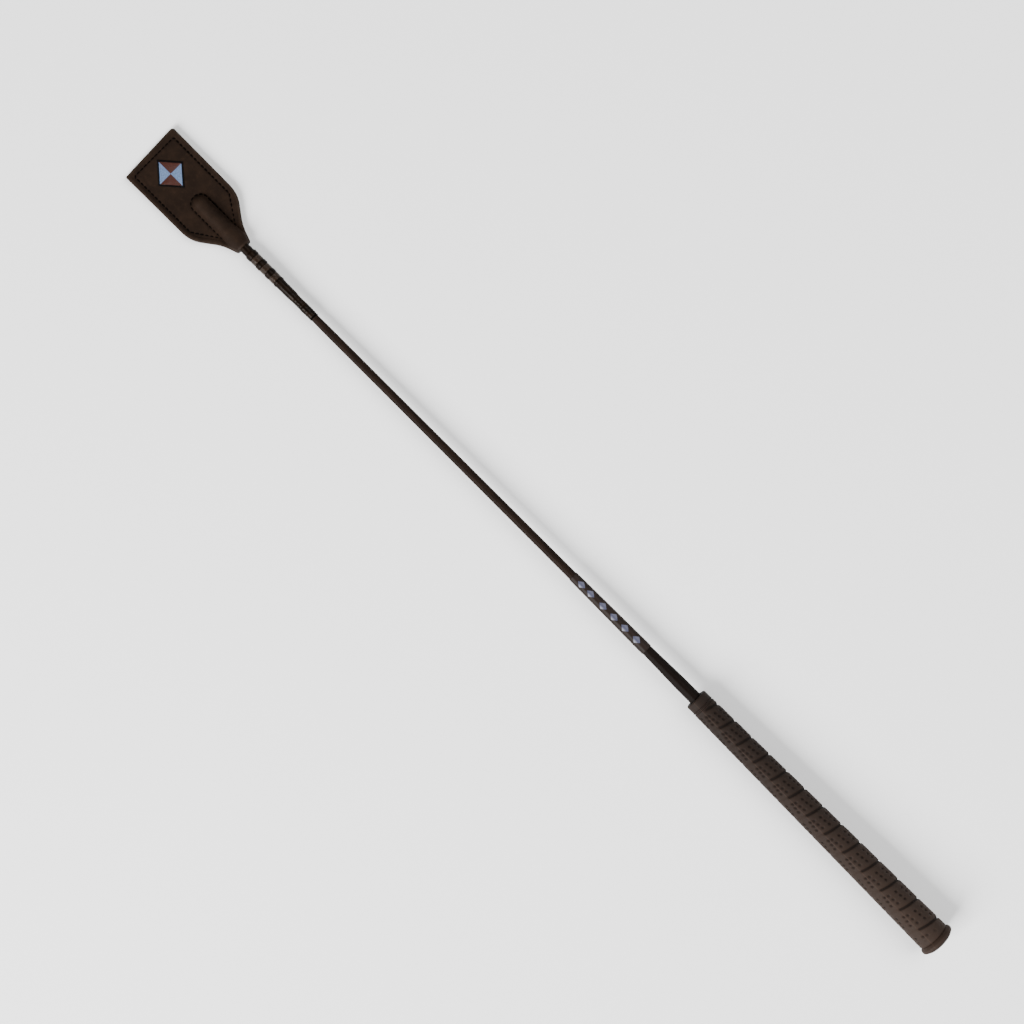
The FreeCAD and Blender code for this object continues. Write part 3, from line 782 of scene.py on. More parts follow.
def grown(piece, graph, values):
    """Runs a tree on a piece with these inputs, and leaves a plain mesh."""
    modifier = piece.modifiers.new(graph.tree.name, "NODES")
    modifier.node_group = graph.tree
    for item in graph.tree.interface.items_tree:
        if item.item_type == "SOCKET" and item.in_out == "INPUT" and item.name in values:
            modifier[item.identifier] = values[item.name]
    bpy.context.view_layer.update()
    depsgraph = bpy.context.evaluated_depsgraph_get()
    mesh = bpy.data.meshes.new_from_object(piece.evaluated_get(depsgraph))
    piece.modifiers.clear()
    old, piece.data = piece.data, mesh
    bpy.data.meshes.remove(old)
    mesh.name = piece.name
    mesh.shade_smooth()
    if not mesh.polygons:
        raise RuntimeError(f"{piece.name} came out empty")
    return piece


def stored(graph, geometry, name, value):
    """Geometry with a number stored on its points."""
    return graph.add(
        "GeometryNodeStoreNamedAttribute",
        {"data_type": "FLOAT", "domain": "POINT"},
        {"Geometry": geometry, "Name": name, "Value": value},
    )


def swept_thread(graph, curve, radius, sides):
    """A round thread along a curve that knows its place along and around."""
    length = graph.add("GeometryNodeSplineParameter", None, None, "Length")
    share = graph.add("GeometryNodeSplineParameter", None, None, "Factor")
    marked = stored(graph, curve, "along", length)
    circle = graph.add("GeometryNodeCurvePrimitiveCircle", None, {"Resolution": sides, "Radius": radius})
    ring = stored(graph, circle, "around", share)
    return graph.add(
        "GeometryNodeCurveToMesh", None, {"Curve": marked, "Profile Curve": ring, "Fill Caps": True}
    )


def arched_curve(graph, ends, crest, pieces):
    """A curve from end to end that is drawn up towards a crest."""
    values = {"Resolution": pieces, "Start": ends[0], "Middle": crest, "End": ends[1]}
    return graph.add("GeometryNodeCurveQuadraticBezier", None, values)


def transformed(graph, geometry, **change):
    """Geometry that is moved, turned or scaled."""
    return graph.add("GeometryNodeTransform", None, {"Geometry": geometry, **change})


def copied_onto(graph, points, instance, **values):
    """One copy of an instance on each point."""
    values = {"Points": points, "Instance": instance, **values}
    return graph.add("GeometryNodeInstanceOnPoints", None, values)


def shaft_place(graph):
    """Each point's position, its distance from the axis, and its turn round it in radians."""
    along, across, up = graph.parts(graph.add("GeometryNodeInputPosition"))
    radius = (across * across + up * up).root()
    turn = up.turn_from(across)
    return along, across, up, radius, turn


def radial_move(graph, geometry, across, up, radius, distance):
    """Moves each point away from the axis by a distance."""
    offset = graph.vector(Y=across / radius * distance, Z=up / radius * distance)
    return graph.add("GeometryNodeSetPosition", None, {"Geometry": geometry, "Offset": offset})


def stored_mark(graph, name):
    """A number stored on the geometry."""
    return graph.add("GeometryNodeInputNamedAttribute", {"data_type": "FLOAT"}, {"Name": name}, "Attribute")


PARTING_TURN = math.radians(69.5)
DEEP_SPAN = (-0.07, 0.11)
SHALLOW_SHARE = 0.26
GROOVE_SLANT = math.cos(math.radians(15.5))
GROOVE_EDGE = (0.22, 0.62)
SHOULDER_EDGE = (0.4, 1.3)
SHOULDER_DEPTH = 0.22
WRAP_START = 0.1889
WRAP_LEAD = 0.003
DIMPLE_STEP = math.radians(30.4)
DIMPLE_FIRST = (math.radians(7.9), math.radians(12.5))
DIMPLE_GAP = 0.205
DIMPLE_LEAN = math.tan(math.radians(8.0))
DIMPLE_SHIFT = 0.0004
DIMPLE_ROWS = 6
DIMPLE_EDGE = (0.35, 1.15)
DIMPLE_TONE = 0.86


def wrap_tree(material):
    """Moulded wrap: a spiral groove, deep on one side of the parting line, and rows of dimples."""
    labels = ["Groove Depth", "Groove Width", "First Pitch", "Pitch Growth"]
    labels += ["Dimple Depth", "Dimple Width"]
    graph, entry, inputs = growing_tree("Moulded wrap", dict.fromkeys(labels, 0.001))
    depth, width, first, growth, dimple_depth, dimple_width = inputs
    along, across, up, radius, turn = shaft_place(graph)
    skin = stored_mark(graph, "skin")
    travelled = (WRAP_START - along).most(-WRAP_LEAD)
    turns = ((first * first + travelled * growth * 2.0).root() - first) / growth
    phase = turns + 0.5 - turn / FULL_TURN
    pitch = first + turns * growth
    gap = abs(phase - phase.nearest()) * pitch * GROOVE_SLANT
    away = (turn - PARTING_TURN - math.pi / 2.0).cosine()
    deep = away.ease(*DEEP_SPAN)
    groove = 1.0 - gap.ease(width * GROOVE_EDGE[0], width * GROOVE_EDGE[1])
    shoulder = 1.0 - gap.ease(width * SHOULDER_EDGE[0], width * SHOULDER_EDGE[1])
    cut_share = deep * (1.0 - SHALLOW_SHARE) + SHALLOW_SHARE
    shown = groove * cut_share + shoulder * SHOULDER_DEPTH * (deep * 0.6 + 0.4)
    side = (turn - PARTING_TURN).cosine().arc_cosine()
    row_first = deep * (DIMPLE_FIRST[1] - DIMPLE_FIRST[0]) + DIMPLE_FIRST[0]
    row = (side - row_first) / DIMPLE_STEP
    row_gap = (row - row.nearest().most(0.0).least(DIMPLE_ROWS - 1.0)) * DIMPLE_STEP * radius
    step = pitch * DIMPLE_GAP
    run = (phase - phase.floor() - 0.5) * pitch - DIMPLE_SHIFT
    place = (run / step).nearest().most(-1.0).least(1.0)
    along_gap = run - place * step
    across_gap = row_gap - place * step * DIMPLE_LEAN
    dimple_gap = (along_gap * along_gap + across_gap * across_gap).root() / dimple_width * 2.0
    dimple = 1.0 - dimple_gap.ease(*DIMPLE_EDGE)
    sunk = (shown * depth + dimple * dimple_depth * (1.0 - groove)) * skin
    cut = radial_move(graph, entry, across, up, radius, sunk * -1.0)
    # The sunk mark also darkens the rubber's colour as painted shade.
    marked = stored(graph, cut, "sunk", shown.most(dimple * DIMPLE_TONE) * skin)
    end_tree(graph, marked, material)
    return graph


def braid_tree(material):
    """Two sets of strands that cross over two and under two, as relief on the tube."""
    labels = ["Strands", "Strand Step", "Strand Relief"]
    graph, entry, (strands, step, relief) = growing_tree("Braided thread", dict.fromkeys(labels, 1.0))
    along, across, up, radius, turn = shaft_place(graph)
    skin = stored_mark(graph, "skin")
    round_place = turn * strands / FULL_TURN
    long_place = along / step
    right = round_place + long_place
    left = round_place - long_place
    heights = []
    for own, own_crossing, lift in ((right, left, 1.0), (left, right, -1.0)):
        number = own.floor()
        middle = (own - number - 0.5) * 2.0
        crown = (1.0 - middle * middle).most(0.0).root()
        wave = ((number + 0.5 + own_crossing) * (math.pi / 2.0)).sine() * lift
        heights.append(crown * (wave * 0.28 + 0.72))
    height = heights[0].most(heights[1])
    lean = heights[0].beyond(heights[1])
    cut = radial_move(graph, entry, across, up, radius, (height - 1.0) * relief * skin)
    # The strand mark also darkens the gaps as painted shade, and lean gives one set of strands a painted
    # sheen.
    marked = stored(graph, stored(graph, cut, "strand", height * skin), "lean", lean)
    end_tree(graph, marked, material)
    return graph


def winding_tree(material):
    """Close turns of one thread round the shaft."""
    labels = ["Start", "Length", "Outer Radius", "Thread"]
    graph, _, (start, length, outer, thread) = growing_tree("Whipping", dict.fromkeys(labels, 0.001))
    middle_radius = outer - thread * 0.5
    spiral = graph.add(
        "GeometryNodeCurveSpiral",
        None,
        {
            "Resolution": 40,
            "Rotations": (length - thread) / thread,
            "Start Radius": middle_radius,
            "End Radius": middle_radius,
            "Height": length - thread,
            "Reverse": False,
        },
    )
    place = graph.vector(X=start + thread * 0.5)
    laid = transformed(graph, spiral, Translation=place, Rotation=(0.0, math.pi / 2.0, 0.0))
    threads = swept_thread(graph, laid, thread * 0.5, 8)
    end_tree(graph, threads, material)
    return graph


def mark_tree(material):
    """Thin printed lozenges that follow the sleeve's round surface."""
    labels = ["Mark Length", "Mark Width", "Start Radius", "Taper", "Lift"]
    graph, entry, inputs = growing_tree("Printed marks", dict.fromkeys(labels, 0.001))
    long_side, wide_side, start_radius, taper, lift = inputs
    size = (math.sqrt(0.5), math.sqrt(0.5), 1.0)
    counts = {"Vertices X": 7, "Vertices Y": 7, "Vertices Z": 2}
    block = graph.add("GeometryNodeMeshCube", None, {"Size": size, **counts})
    turned = transformed(graph, block, Rotation=(0.0, 0.0, math.pi / 4.0))
    scale = graph.vector(X=long_side, Y=wide_side, Z=lift)
    sized = transformed(graph, turned, Scale=scale)
    copies = copied_onto(graph, entry, sized)
    whole = graph.add("GeometryNodeRealizeInstances", None, {"Geometry": copies})
    along, across, up = graph.parts(graph.add("GeometryNodeInputPosition"))
    radius = start_radius - (along - SLEEVE_LINE[0][0] * MM) * taper + up
    turn = across / start_radius
    bent = graph.vector(X=along, Y=turn.sine() * radius, Z=turn.cosine() * radius)
    wrapped = graph.add("GeometryNodeSetPosition", None, {"Geometry": whole, "Position": bent})
    end_tree(graph, wrapped, material)
    return graph


def stitch_tree(material):
    """Arched stitches at even steps along a seam, turned over where the seam is on the back."""
    labels = ["Stitch Pitch", "Stitch Length", "Sewing Thread"]
    graph, entry, (pitch, length, thread) = growing_tree("Stitches", dict.fromkeys(labels, 0.001))
    half, low = length * 0.5, thread * -0.55
    ends = [graph.vector(X=half * -1.0, Z=low), graph.vector(X=half * 1.0, Z=low)]
    arch = arched_curve(graph, ends, graph.vector(Z=thread * 0.75), 6)
    stitch = swept_thread(graph, arch, thread * 0.5, 8)
    seam = graph.add("GeometryNodeMeshToCurve", None, {"Mesh": entry})
    points = graph.add("GeometryNodeCurveToPoints", {"mode": "LENGTH"}, {"Curve": seam, "Length": pitch})
    facing = graph.add(
        "FunctionNodeAlignEulerToVector",
        {"axis": "X", "pivot_axis": "Z"},
        {"Vector": points.other("Tangent")},
    )
    flipped = graph.add(
        "FunctionNodeRotateEuler",
        {"rotation_type": "EULER", "space": "LOCAL"},
        {"Rotation": facing, "Rotate By": graph.vector(X=stored_mark(graph, "under") * math.pi)},
    )
    end_tree(graph, copied_onto(graph, points, stitch, Rotation=flipped), material)
    return graph


def satin_tree(material):
    """Embroidery threads laid side by side, each as long as its place asks."""
    graph, entry, (thread, rise) = growing_tree("Satin stitch", {"Satin Thread": 0.0004, "Rise": 0.0002})
    low = thread * -0.3
    ends = [graph.vector(X=-0.5, Z=low), graph.vector(X=0.5, Z=low)]
    arch = arched_curve(graph, ends, graph.vector(Z=rise), 5)
    strand = swept_thread(graph, arch, thread * 0.55, 6)
    turn = graph.vector(Z=stored_mark(graph, "turn"))
    scale = graph.vector(X=stored_mark(graph, "length"), Y=1.0, Z=1.0)
    end_tree(graph, copied_onto(graph, entry, strand, Rotation=turn, Scale=scale), material)
    return graph


# Pieces


def sizes_of(group, graph):
    """The inputs of a tree that have a setting of the same name."""
    names = {item.name: item.name.lower().replace(" ", "_") for item in graph.tree.interface.items_tree}
    return {label: float(getattr(group, name)) for label, name in names.items() if hasattr(group, name)}


def shown_as(piece, nodes, body=HANDLE_BODY):
    """Hides the parts that a finished piece stands for and parents it to the body it moves with."""
    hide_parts(*nodes)
    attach(piece, body)


def bends_with_flap(piece, nodes):
    """Hides the parts that a piece stands for, a piece that spans the bend from the handle to the flap, and
    bakes its place into its mesh.
    """
    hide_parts(*nodes)
    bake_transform(piece)


def make_cap(colours):
    """Flared rubber cap with a rounded rim."""
    profile = refined(rounded(CAP_CORNERS, steps=8), step=0.5)
    points, faces, turn, along = lathe(profile, columns=128)
    dents = unevenness(turn * 10.0, along * 3.0, wavelength=14.0, seed=3) * CAP_DENTS
    points[: len(turn)] = pushed(points[: len(turn)], dents * (along < CAP_SEEN))
    rubber = finish_of("cap_rubber", moulded_rubber, colours.rubber)
    piece = new_piece("rubber_cap", points, faces, rubber, crisp=50.0)
    shown_as(piece, ["butt_cap"])


def make_grip(colours, sizes):
    """Rubber grip with its moulded wrap, ring grooves and collar."""
    butt_end, mouth_end = GRIP_SKIN
    skin_rows = np.arange(butt_end[0], mouth_end[0], GRIP_ROW)
    skin = np.column_stack([skin_rows, read_line(skin_rows, GRIP_SKIN)])
    rest = rounded([(*mouth_end, 0.0), *GRIP_FRONT, (*butt_end, 0.0)], steps=5)
    profile = np.vstack([skin, refined(rest[:-1], step=22.0)])
    points, faces, _, along = lathe(profile, GRIP_COLUMNS, loop=True)
    on_skin = (np.arange(len(points)) < len(skin) * GRIP_COLUMNS).astype(float)
    fade = smooth_share(along, *WRAP_FADE_IN) * (1.0 - smooth_share(along, *WRAP_FADE_OUT))
    rubber = finish_of("grip_rubber", moulded_rubber, colours.rubber)
    piece = new_piece("rubber_grip", points, faces, marks={"skin": on_skin * fade})
    wrap = wrap_tree(rubber)
    grown(piece, wrap, sizes_of(sizes, wrap))
    piece.data.set_sharp_from_angle(angle=math.radians(60.0))
    shown_as(piece, ["grip_rubber"])


def make_braid(colours, sizes):
    """Lacquered thread over the whole rod."""
    spans = SHAFT_HIDDEN + [(start, end, BRAID_ROW) for start, end in SHAFT_SHOWN]
    rows = [np.arange(*span) for span in spans]
    stations = np.unique(np.concatenate([*rows, [SHAFT_LINE[-1][0]]]))
    outer = np.column_stack([stations, read_line(stations, SHAFT_LINE)])
    profile = np.vstack([outer, SHAFT_BORE])
    points, faces, _, along = lathe(profile, BRAID_COLUMNS, loop=True)
    shown = np.zeros(len(along))
    for start, end in SHAFT_SHOWN:
        faded = smooth_share(along, end - BRAID_FADE, end)
        shown += smooth_share(along, start, start + BRAID_FADE) * (1.0 - faded)
    on_skin = np.arange(len(points)) < len(outer) * BRAID_COLUMNS
    piece = new_piece("braided_thread", points, faces, marks={"skin": shown * on_skin})
    braid = braid_tree(finish_of("shaft_thread", lacquered_thread, colours.shaft))
    grown(piece, braid, sizes_of(sizes, braid))
    shown_as(piece, ["braid_cover"])


def make_sleeve(colours, sizes):
    """Matte sleeve with a row of printed lozenges."""
    (start, start_radius), (end, end_radius) = SLEEVE_LINE
    corners = [
        (start, start_radius - SLEEVE_THICKNESS, 0.0),
        (start, start_radius, SLEEVE_ROUND),
        (end, end_radius, SLEEVE_ROUND),
        (end, end_radius - SLEEVE_THICKNESS, 0.0),
    ]
    profile = refined(rounded(corners, steps=4), step=0.4)
    points, faces, turn, along = lathe(profile, columns=72, loop=True)
    creases = unevenness(along, turn * 3.4, wavelength=5.0, seed=8) * SLEEVE_CREASES
    points = pushed(points, creases * smooth_share(along, start, start + 1.0))
    film = finish_of("sleeve_film", printed_film, colours.sleeve)
    sleeve = new_piece("printed_sleeve", points, faces, film, crisp=60.0)
    shown_as(sleeve, ["label_sleeve"])
    spots = [(x, 0.0, 0.0) for x in PRINT_SPOTS]
    marks = new_piece("printed_lozenges", spots, [])
    printing = mark_tree(finish_of("print_ink", stamped_ink, colours.print_ink))
    round_shape = {
        "Start Radius": start_radius * MM,
        "Taper": (start_radius - end_radius) / (end - start),
        "Lift": PRINT_THICKNESS * MM,
    }
    grown(marks, printing, {**sizes_of(sizes, printing), **round_shape})
    marks.data.set_sharp_from_angle(angle=math.radians(40.0))
    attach(marks, HANDLE_BODY)


def make_keeper(colours, sizes):
    """Glossy sleeve with raised rings, its three bands and its end ring of thread."""
    profile = refined(rounded(KEEPER_CORNERS, steps=5), step=0.3)
    points, faces, turn, along = lathe(profile, columns=80, loop=True)
    swirl = np.sin((along - KEEPER_START) * FULL_TURN / SWIRL_PITCH + turn) * SWIRL_DEPTH
    swirl += unevenness(along, turn * 2.7, wavelength=4.5, seed=12) * KEEPER_WRINKLES
    past_wrinkles = smooth_share(along, *WRINKLES_END)
    swirl *= smooth_share(along, *WRINKLES_START) * (1.0 - past_wrinkles)
    lumps = unevenness(along, turn * 3.0, wavelength=4.0, seed=21) * KEEPER_LUMPS * past_wrinkles
    outside = np.hypot(points[:, 1], points[:, 2]) > KEEPER_INSIDE
    points = pushed(points, (swirl + lumps) * outside)
    lacquer = finish_of("keeper_lacquer", glossy_lacquer, colours.lacquer)
    piece = new_piece("lacquered_keeper", points, faces, lacquer, crisp=70.0)
    shown_as(piece, ["keeper_sleeve"])
    waxed = finish_of("band_thread", twisted_thread, colours.band, True)
    dark = finish_of("ring_thread", twisted_thread, colours.sewing, False)
    windings = [
        (name, span, waxed, "band_thread", sizes.whipping_thread)
        for name, span in BAND_SPANS.items()
    ]
    windings.append(("keeper_end_thread", END_RING_SPAN, dark, "dark_thread", sizes.ring_thread))
    for node, (start, end, outer), material, slot, thread in windings:
        winding = new_piece(f"{node}_winding", [(start, 0.0, 0.0)], [])
        shape = {"Start": start * MM, "Length": (end - start) * MM, "Outer Radius": outer * MM}
        grown(winding, winding_tree(material), {**shape, "Thread": thread})
        shown_as(winding, [node])


def edge_drop(gap, radius):
    """How far a rounded edge falls away at this distance from its end."""
    left = radius - np.minimum(gap, radius)
    return radius - np.sqrt(np.maximum(radius**2 - left**2, 0.0))


def soft_most(first, second, softness):
    """The higher of two heights with a soft valley between them."""
    near = np.maximum(softness - np.abs(first - second), 0.0) / softness
    return np.maximum(first, second) + near * near * softness * 0.25


def flap_grid():
    """Places over the flap, close together at its edges, and their distance from the edge."""
    body_rows = np.arange(MOUTH + INNER_START, FREE_END - 1.2, GRID_STEP)
    rows = np.concatenate([MOUTH + EDGE_ROWS, body_rows, (FREE_END - EDGE_ROWS)[::-1]])
    inward = np.concatenate([EDGE_ROWS, np.arange(INNER_START, FLAP_HALF, GRID_STEP)])
    half = (FLAP_HALF - inward) / FLAP_HALF
    shares = np.concatenate([-half, [0.0], half[::-1]])
    width = read_line(rows, rounded(FLAP_SIDE, steps=12)) - edge_drop(rows - MOUTH, MOUTH_CORNER)
    upper = width - edge_drop(FREE_END - rows, FREE_CORNERS[1])
    lower = width - edge_drop(FREE_END - rows, FREE_CORNERS[-1])
    across = np.where(shares > 0.0, upper[:, None], lower[:, None]) * shares
    ramp = np.clip((rows - SKEW_START) / (FREE_END - SKEW_START), 0.0, 1.0)[:, None] ** 2
    along = rows[:, None] - FREE_END_SKEW * (1.0 + across / FLAP_HALF) * ramp
    loop = np.concatenate(
        [
            np.column_stack([along[:, 0], across[:, 0]]),
            np.column_stack([along[-1], across[-1]]),
            np.column_stack([along[::-1, -1], across[::-1, -1]]),
            np.column_stack([along[0, ::-1], across[0, ::-1]]),
        ]
    )
    distance, _ = path_distance(along, across, loop)
    distance[[0, -1], :] = 0.0
    distance[:, [0, -1]] = 0.0
    return along, across, distance


def leather_heights(along, across, distance, sizes, front):
    """Outer and inner height of one leather above the middle, and its marks."""
    rounding = sizes.edge_round / MM
    rim = sizes.rim_width / MM
    edge_gap, edge_run = path_distance(along, across, rounded(EDGE_SEAM, steps=10))
    tongue_gap, tongue_run = path_distance(along, across, rounded(TONGUE_SEAM, steps=16))
    seam_gap = np.minimum(edge_gap, tongue_gap)
    run = np.where(edge_gap < tongue_gap, edge_run, tongue_run)
    channel = np.exp(-((seam_gap / CHANNEL_HALF) ** 2))
    pitch = sizes.stitch_pitch / MM
    pull = np.cos(run * FULL_TURN / pitch) * np.exp(-((seam_gap / PULL_HALF) ** 2))
    waves = unevenness(along, across, wavelength=17.0, seed=5 if front else 6) * LEATHER_WAVES
    lumps = unevenness(along, across, wavelength=3.4, seed=15 if front else 16) * LEATHER_LUMPS
    plate = RIM_RISE - FIELD_DROP * smooth_share(distance, rim, rim + RIM_SLOPE)
    plate = plate + waves * smooth_share(distance, 1.0, 4.0) + lumps
    plate = plate - channel * CHANNEL_DEPTH + pull * PULL_HEIGHT
    neck_radius = read_line(along, NECK_LINE)
    centre = -MIDDLE if front else MIDDLE
    if front:
        foot = RIM_RISE - NECK_FOOT
        peak = neck_radius + centre - smooth_share(along, *NECK_FADE) * NECK_SINK
        crown = np.sqrt(np.maximum(1.0 - (across / read_line(along, NECK_HALF)) ** 2, 0.0))
        neck = foot + (peak - foot) * crown
    else:
        arch = np.maximum(neck_radius**2 - across**2, 0.0)
        neck = np.where(arch > 0.0, np.sqrt(arch) + centre, BURIED)
    neck = np.where(along < NECK_FADE[1], neck, BURIED)
    outer = soft_most(plate, neck, NECK_SOFTNESS)
    ridge_share = np.zeros_like(outer)
    if front:
        radius = (TONGUE_HALF**2 + TONGUE_RISE**2) / (2.0 * TONGUE_RISE)
        past = np.maximum(along - TONGUE_END, 0.0)
        square = radius**2 - across**2 - past**2
        dome = np.where(square > 0.0, np.sqrt(np.maximum(square, 0.0)), 0.0)
        ridge = dome + RIM_RISE + TONGUE_RISE - radius
        wobble = unevenness(along, across, wavelength=9.0, seed=31) * TONGUE_WOBBLE
        ridge = np.where(square > 0.0, ridge + wobble, BURIED)
        outer = soft_most(outer, ridge, TONGUE_SOFTNESS)
        ridge_share = smooth_share(outer, *RUBBED_RISE)
    outer = outer - edge_drop(distance, rounding)
    (keeper_reach, keeper_room), (rod_reach, rod_room) = TUNNEL
    tunnel = np.where(along < keeper_reach, keeper_room, np.where(along < rod_reach, rod_room, 0.0))
    inside = np.maximum(tunnel**2 - across**2, 0.0)
    inner = np.where(inside > 0.0, np.maximum(np.sqrt(inside) + centre, 0.0), 0.0)
    inner = np.minimum(inner + edge_drop(distance, INNER_ROUND), outer - THINNEST)
    burnished = 1.0 - smooth_share(distance, *EDGE_TONE)
    # The channel mark also darkens the leather's colour as painted shade.
    return outer, inner, {"edge": burnished, "channel": channel, "ridge": ridge_share}


def make_leather(name, leather, sizes, grid, front):
    """One leather of the flap as a closed shell."""
    along, across, distance = grid
    outer, inner, marks = leather_heights(along, across, distance, sizes, front)
    up = 1.0 if front else -1.0
    rows, columns = along.shape
    top = np.column_stack([along.ravel(), across.ravel(), (MIDDLE + up * outer).ravel()])
    bottom = np.column_stack([along.ravel(), across.ravel(), (MIDDLE + up * inner).ravel()])
    index = np.arange(rows * columns).reshape(rows, columns)
    corners = [index[:-1, :-1], index[1:, :-1], index[1:, 1:], index[:-1, 1:]]
    quads = np.stack(corners, axis=-1).reshape(-1, 4)
    ring = np.concatenate([index[:, 0], index[-1, 1:], index[-2::-1, -1], index[0, -2:0:-1]])
    following = np.roll(ring, -1)
    shift = rows * columns
    wall = np.column_stack([ring + shift, following + shift, following, ring])
    faces = np.concatenate([quads, quads[:, ::-1] + shift, wall])
    if not front:
        faces = faces[:, ::-1]
    both = {label: np.concatenate([values.ravel(), values.ravel()]) for label, values in marks.items()}
    piece = new_piece(name, np.vstack([top, bottom]), faces.tolist(), leather, marks=both, crisp=75.0)
    layer = "front" if front else "back"
    bends_with_flap(piece, [f"flap_{layer}_root", f"flap_{layer}_blade"])


def seam_lines(corners, front_height, back_height):
    """A seam as edges on the front and, turned over, on the back."""
    path = refined(rounded(corners, steps=10), step=0.8)
    points = []
    edges = []
    under = []
    for height, side in ((front_height, 0.0), (back_height, 1.0)):
        first = len(points)
        points += [(x, y, height) for x, y in path]
        under += [side] * len(path)
        edges += [(first + i, first + i + 1) for i in range(len(path) - 1)]
    return points, edges, under


def make_stitching(colours, sizes):
    """Lines of stitches round the flap and round the tongue."""
    thread = finish_of("sewing_thread", twisted_thread, colours.sewing, False)
    height = RIM_RISE - FIELD_DROP - STITCH_SINK
    front, back = MIDDLE + height, MIDDLE - height
    points, edges, under = seam_lines(EDGE_SEAM, front, back)
    edge_line = new_piece("edge_stitches", points, [], edges=edges, marks={"under": under})
    stitches = stitch_tree(thread)
    grown(edge_line, stitches, sizes_of(sizes, stitches))
    bends_with_flap(edge_line, ["edge_stitching_root", "edge_stitching_blade"])
    points, edges, under = seam_lines(TONGUE_SEAM, front, back)
    first = len(points)
    points += [(x, y, front + KNOT_RISE) for x, y in KNOT]
    under += [0.0] * len(KNOT)
    edges += [(first + i, first + i + 1) for i in range(len(KNOT) - 1)]
    tongue_line = new_piece("tongue_stitches", points, [], edges=edges, marks={"under": under})
    grown(tongue_line, stitches, sizes_of(sizes, stitches))
    bends_with_flap(tongue_line, ["tongue_stitching"])


def lozenge_rows(sizes):
    """Where each embroidery thread lies: its place, length and turn, for each colour."""
    step = sizes.satin_thread / MM * SATIN_OVERLAP
    long_half = LOZENGE_LONG - LOZENGE_BORDER * BORDER_LAP
    wide_half = LOZENGE_WIDE - LOZENGE_BORDER * 0.95
    rows = {"light": [], "rust": []}
    for x_sign, y_sign in ((-1, -1), (1, -1), (1, 1), (-1, 1)):
        kind = "light" if x_sign == y_sign else "rust"
        for across in np.arange(step * 0.5, wide_half, step):
            reach = long_half * (1.0 - across / wide_half)
            if reach > SHORTEST_SATIN:
                middle = LOZENGE_MIDDLE + x_sign * reach * 0.5
                rows[kind].append((middle, y_sign * across, reach, 0.0))
    border = []
    corners = [
        (LOZENGE_MIDDLE - LOZENGE_LONG, 0.0),
        (LOZENGE_MIDDLE, LOZENGE_WIDE),
        (LOZENGE_MIDDLE + LOZENGE_LONG, 0.0),
        (LOZENGE_MIDDLE, -LOZENGE_WIDE),
    ]
    middle = np.array([LOZENGE_MIDDLE, 0.0])
    corners = np.array(corners)
    for start, end in zip(corners, np.roll(corners, -1, axis=0)):
        turn = math.atan2(*(end - start)[::-1]) + math.pi / 2.0
        inward = middle - (start + end) / 2.0
        inward = inward / np.linalg.norm(inward) * LOZENGE_BORDER * 0.5
        count = int(np.linalg.norm(end - start) / step)
        for share in np.linspace(0.0, 1.0, count, endpoint=False) + 0.5 / count:
            spot = start + (end - start) * share + inward
            border.append((*spot, LOZENGE_BORDER * BORDER_LAP, turn))
    rows["border"] = border
    return rows


def make_embroidery(colours, sizes):
    """Quartered lozenge in satin stitch with a dark outline."""
    field = MIDDLE + RIM_RISE - FIELD_DROP
    colour_shine_height = {
        "light": (colours.light_thread, 0.25, 0.12),
        "rust": (colours.rust_thread, 0.2, 0.12),
        "border": (colours.border_thread, 0.04, 0.16),
    }
    for kind, rows in lozenge_rows(sizes).items():
        colour, shine, height = colour_shine_height[kind]
        slot = f"{kind}_thread"
        rows = np.array(rows)
        points = np.column_stack([rows[:, 0], rows[:, 1], np.full(len(rows), field + height)])
        marks = {"length": rows[:, 2] * MM, "turn": rows[:, 3]}
        piece = new_piece(f"embroidery_{kind}", points, [], marks=marks)
        thread = finish_of(f"embroidery_{kind}", satin_thread, colour, shine)
        grown(piece, satin_tree(thread), {"Satin Thread": sizes.satin_thread, "Rise": SATIN_RISE * MM})
        shown_as(piece, [f"emblem_{slot}"], FLAP_BODY)


def finish_hidden_parts():
    """Finishes for the rod, the core and the stiffener, which stay as they are."""
    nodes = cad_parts
    finishes = {
        "core_rod": ("rod_fibreglass", glass_fibre),
        "grip_core": ("core_plastic", plain_plastic),
        "flap_filler_root": ("filler_board", fibre_board),
        "flap_filler_blade": ("filler_board", fibre_board),
    }
    for node, (slot, paint) in finishes.items():
        mesh = nodes[node].data
        mesh.materials.clear()
        mesh.materials.append(finish_of(node, paint))


# Stage

CAMERA_SPOT = (0.3523, -0.0013, 1.2245)
CAMERA_HALF_ANGLE = math.radians(13.65)
REST_SLOPE = 0.01142
REST_HEIGHT = -0.01115
REST_SPOT = 0.002
FLOOR_REACH = 8.0
SURROUND_LIGHT = 0.22
AIM = (0.33, 0.0, 0.0)
CLIP_SPAN = (0.05, 20.0)
LAMPS = [("key", (0.18, 2.0, 1.45), 1.45, 192.0), ("fill", (-0.26, -1.7, 2.34), 2.7, 128.0)]
SENSOR_WIDTH = 36.0


def soft_light(name, place, size, power):
    """A large soft lamp aimed at the crop."""
    lamp = bpy.data.lights.new(name, "AREA")
    lamp.shape = "SQUARE"
    lamp.size = size
    lamp.energy = power
    holder = bpy.data.objects.new(name, lamp)
    holder.location = place
    aim = Vector(AIM) - Vector(place)
    holder.rotation_euler = aim.to_track_quat("-Z", "Y").to_euler()
    bpy.context.scene.collection.objects.link(holder)


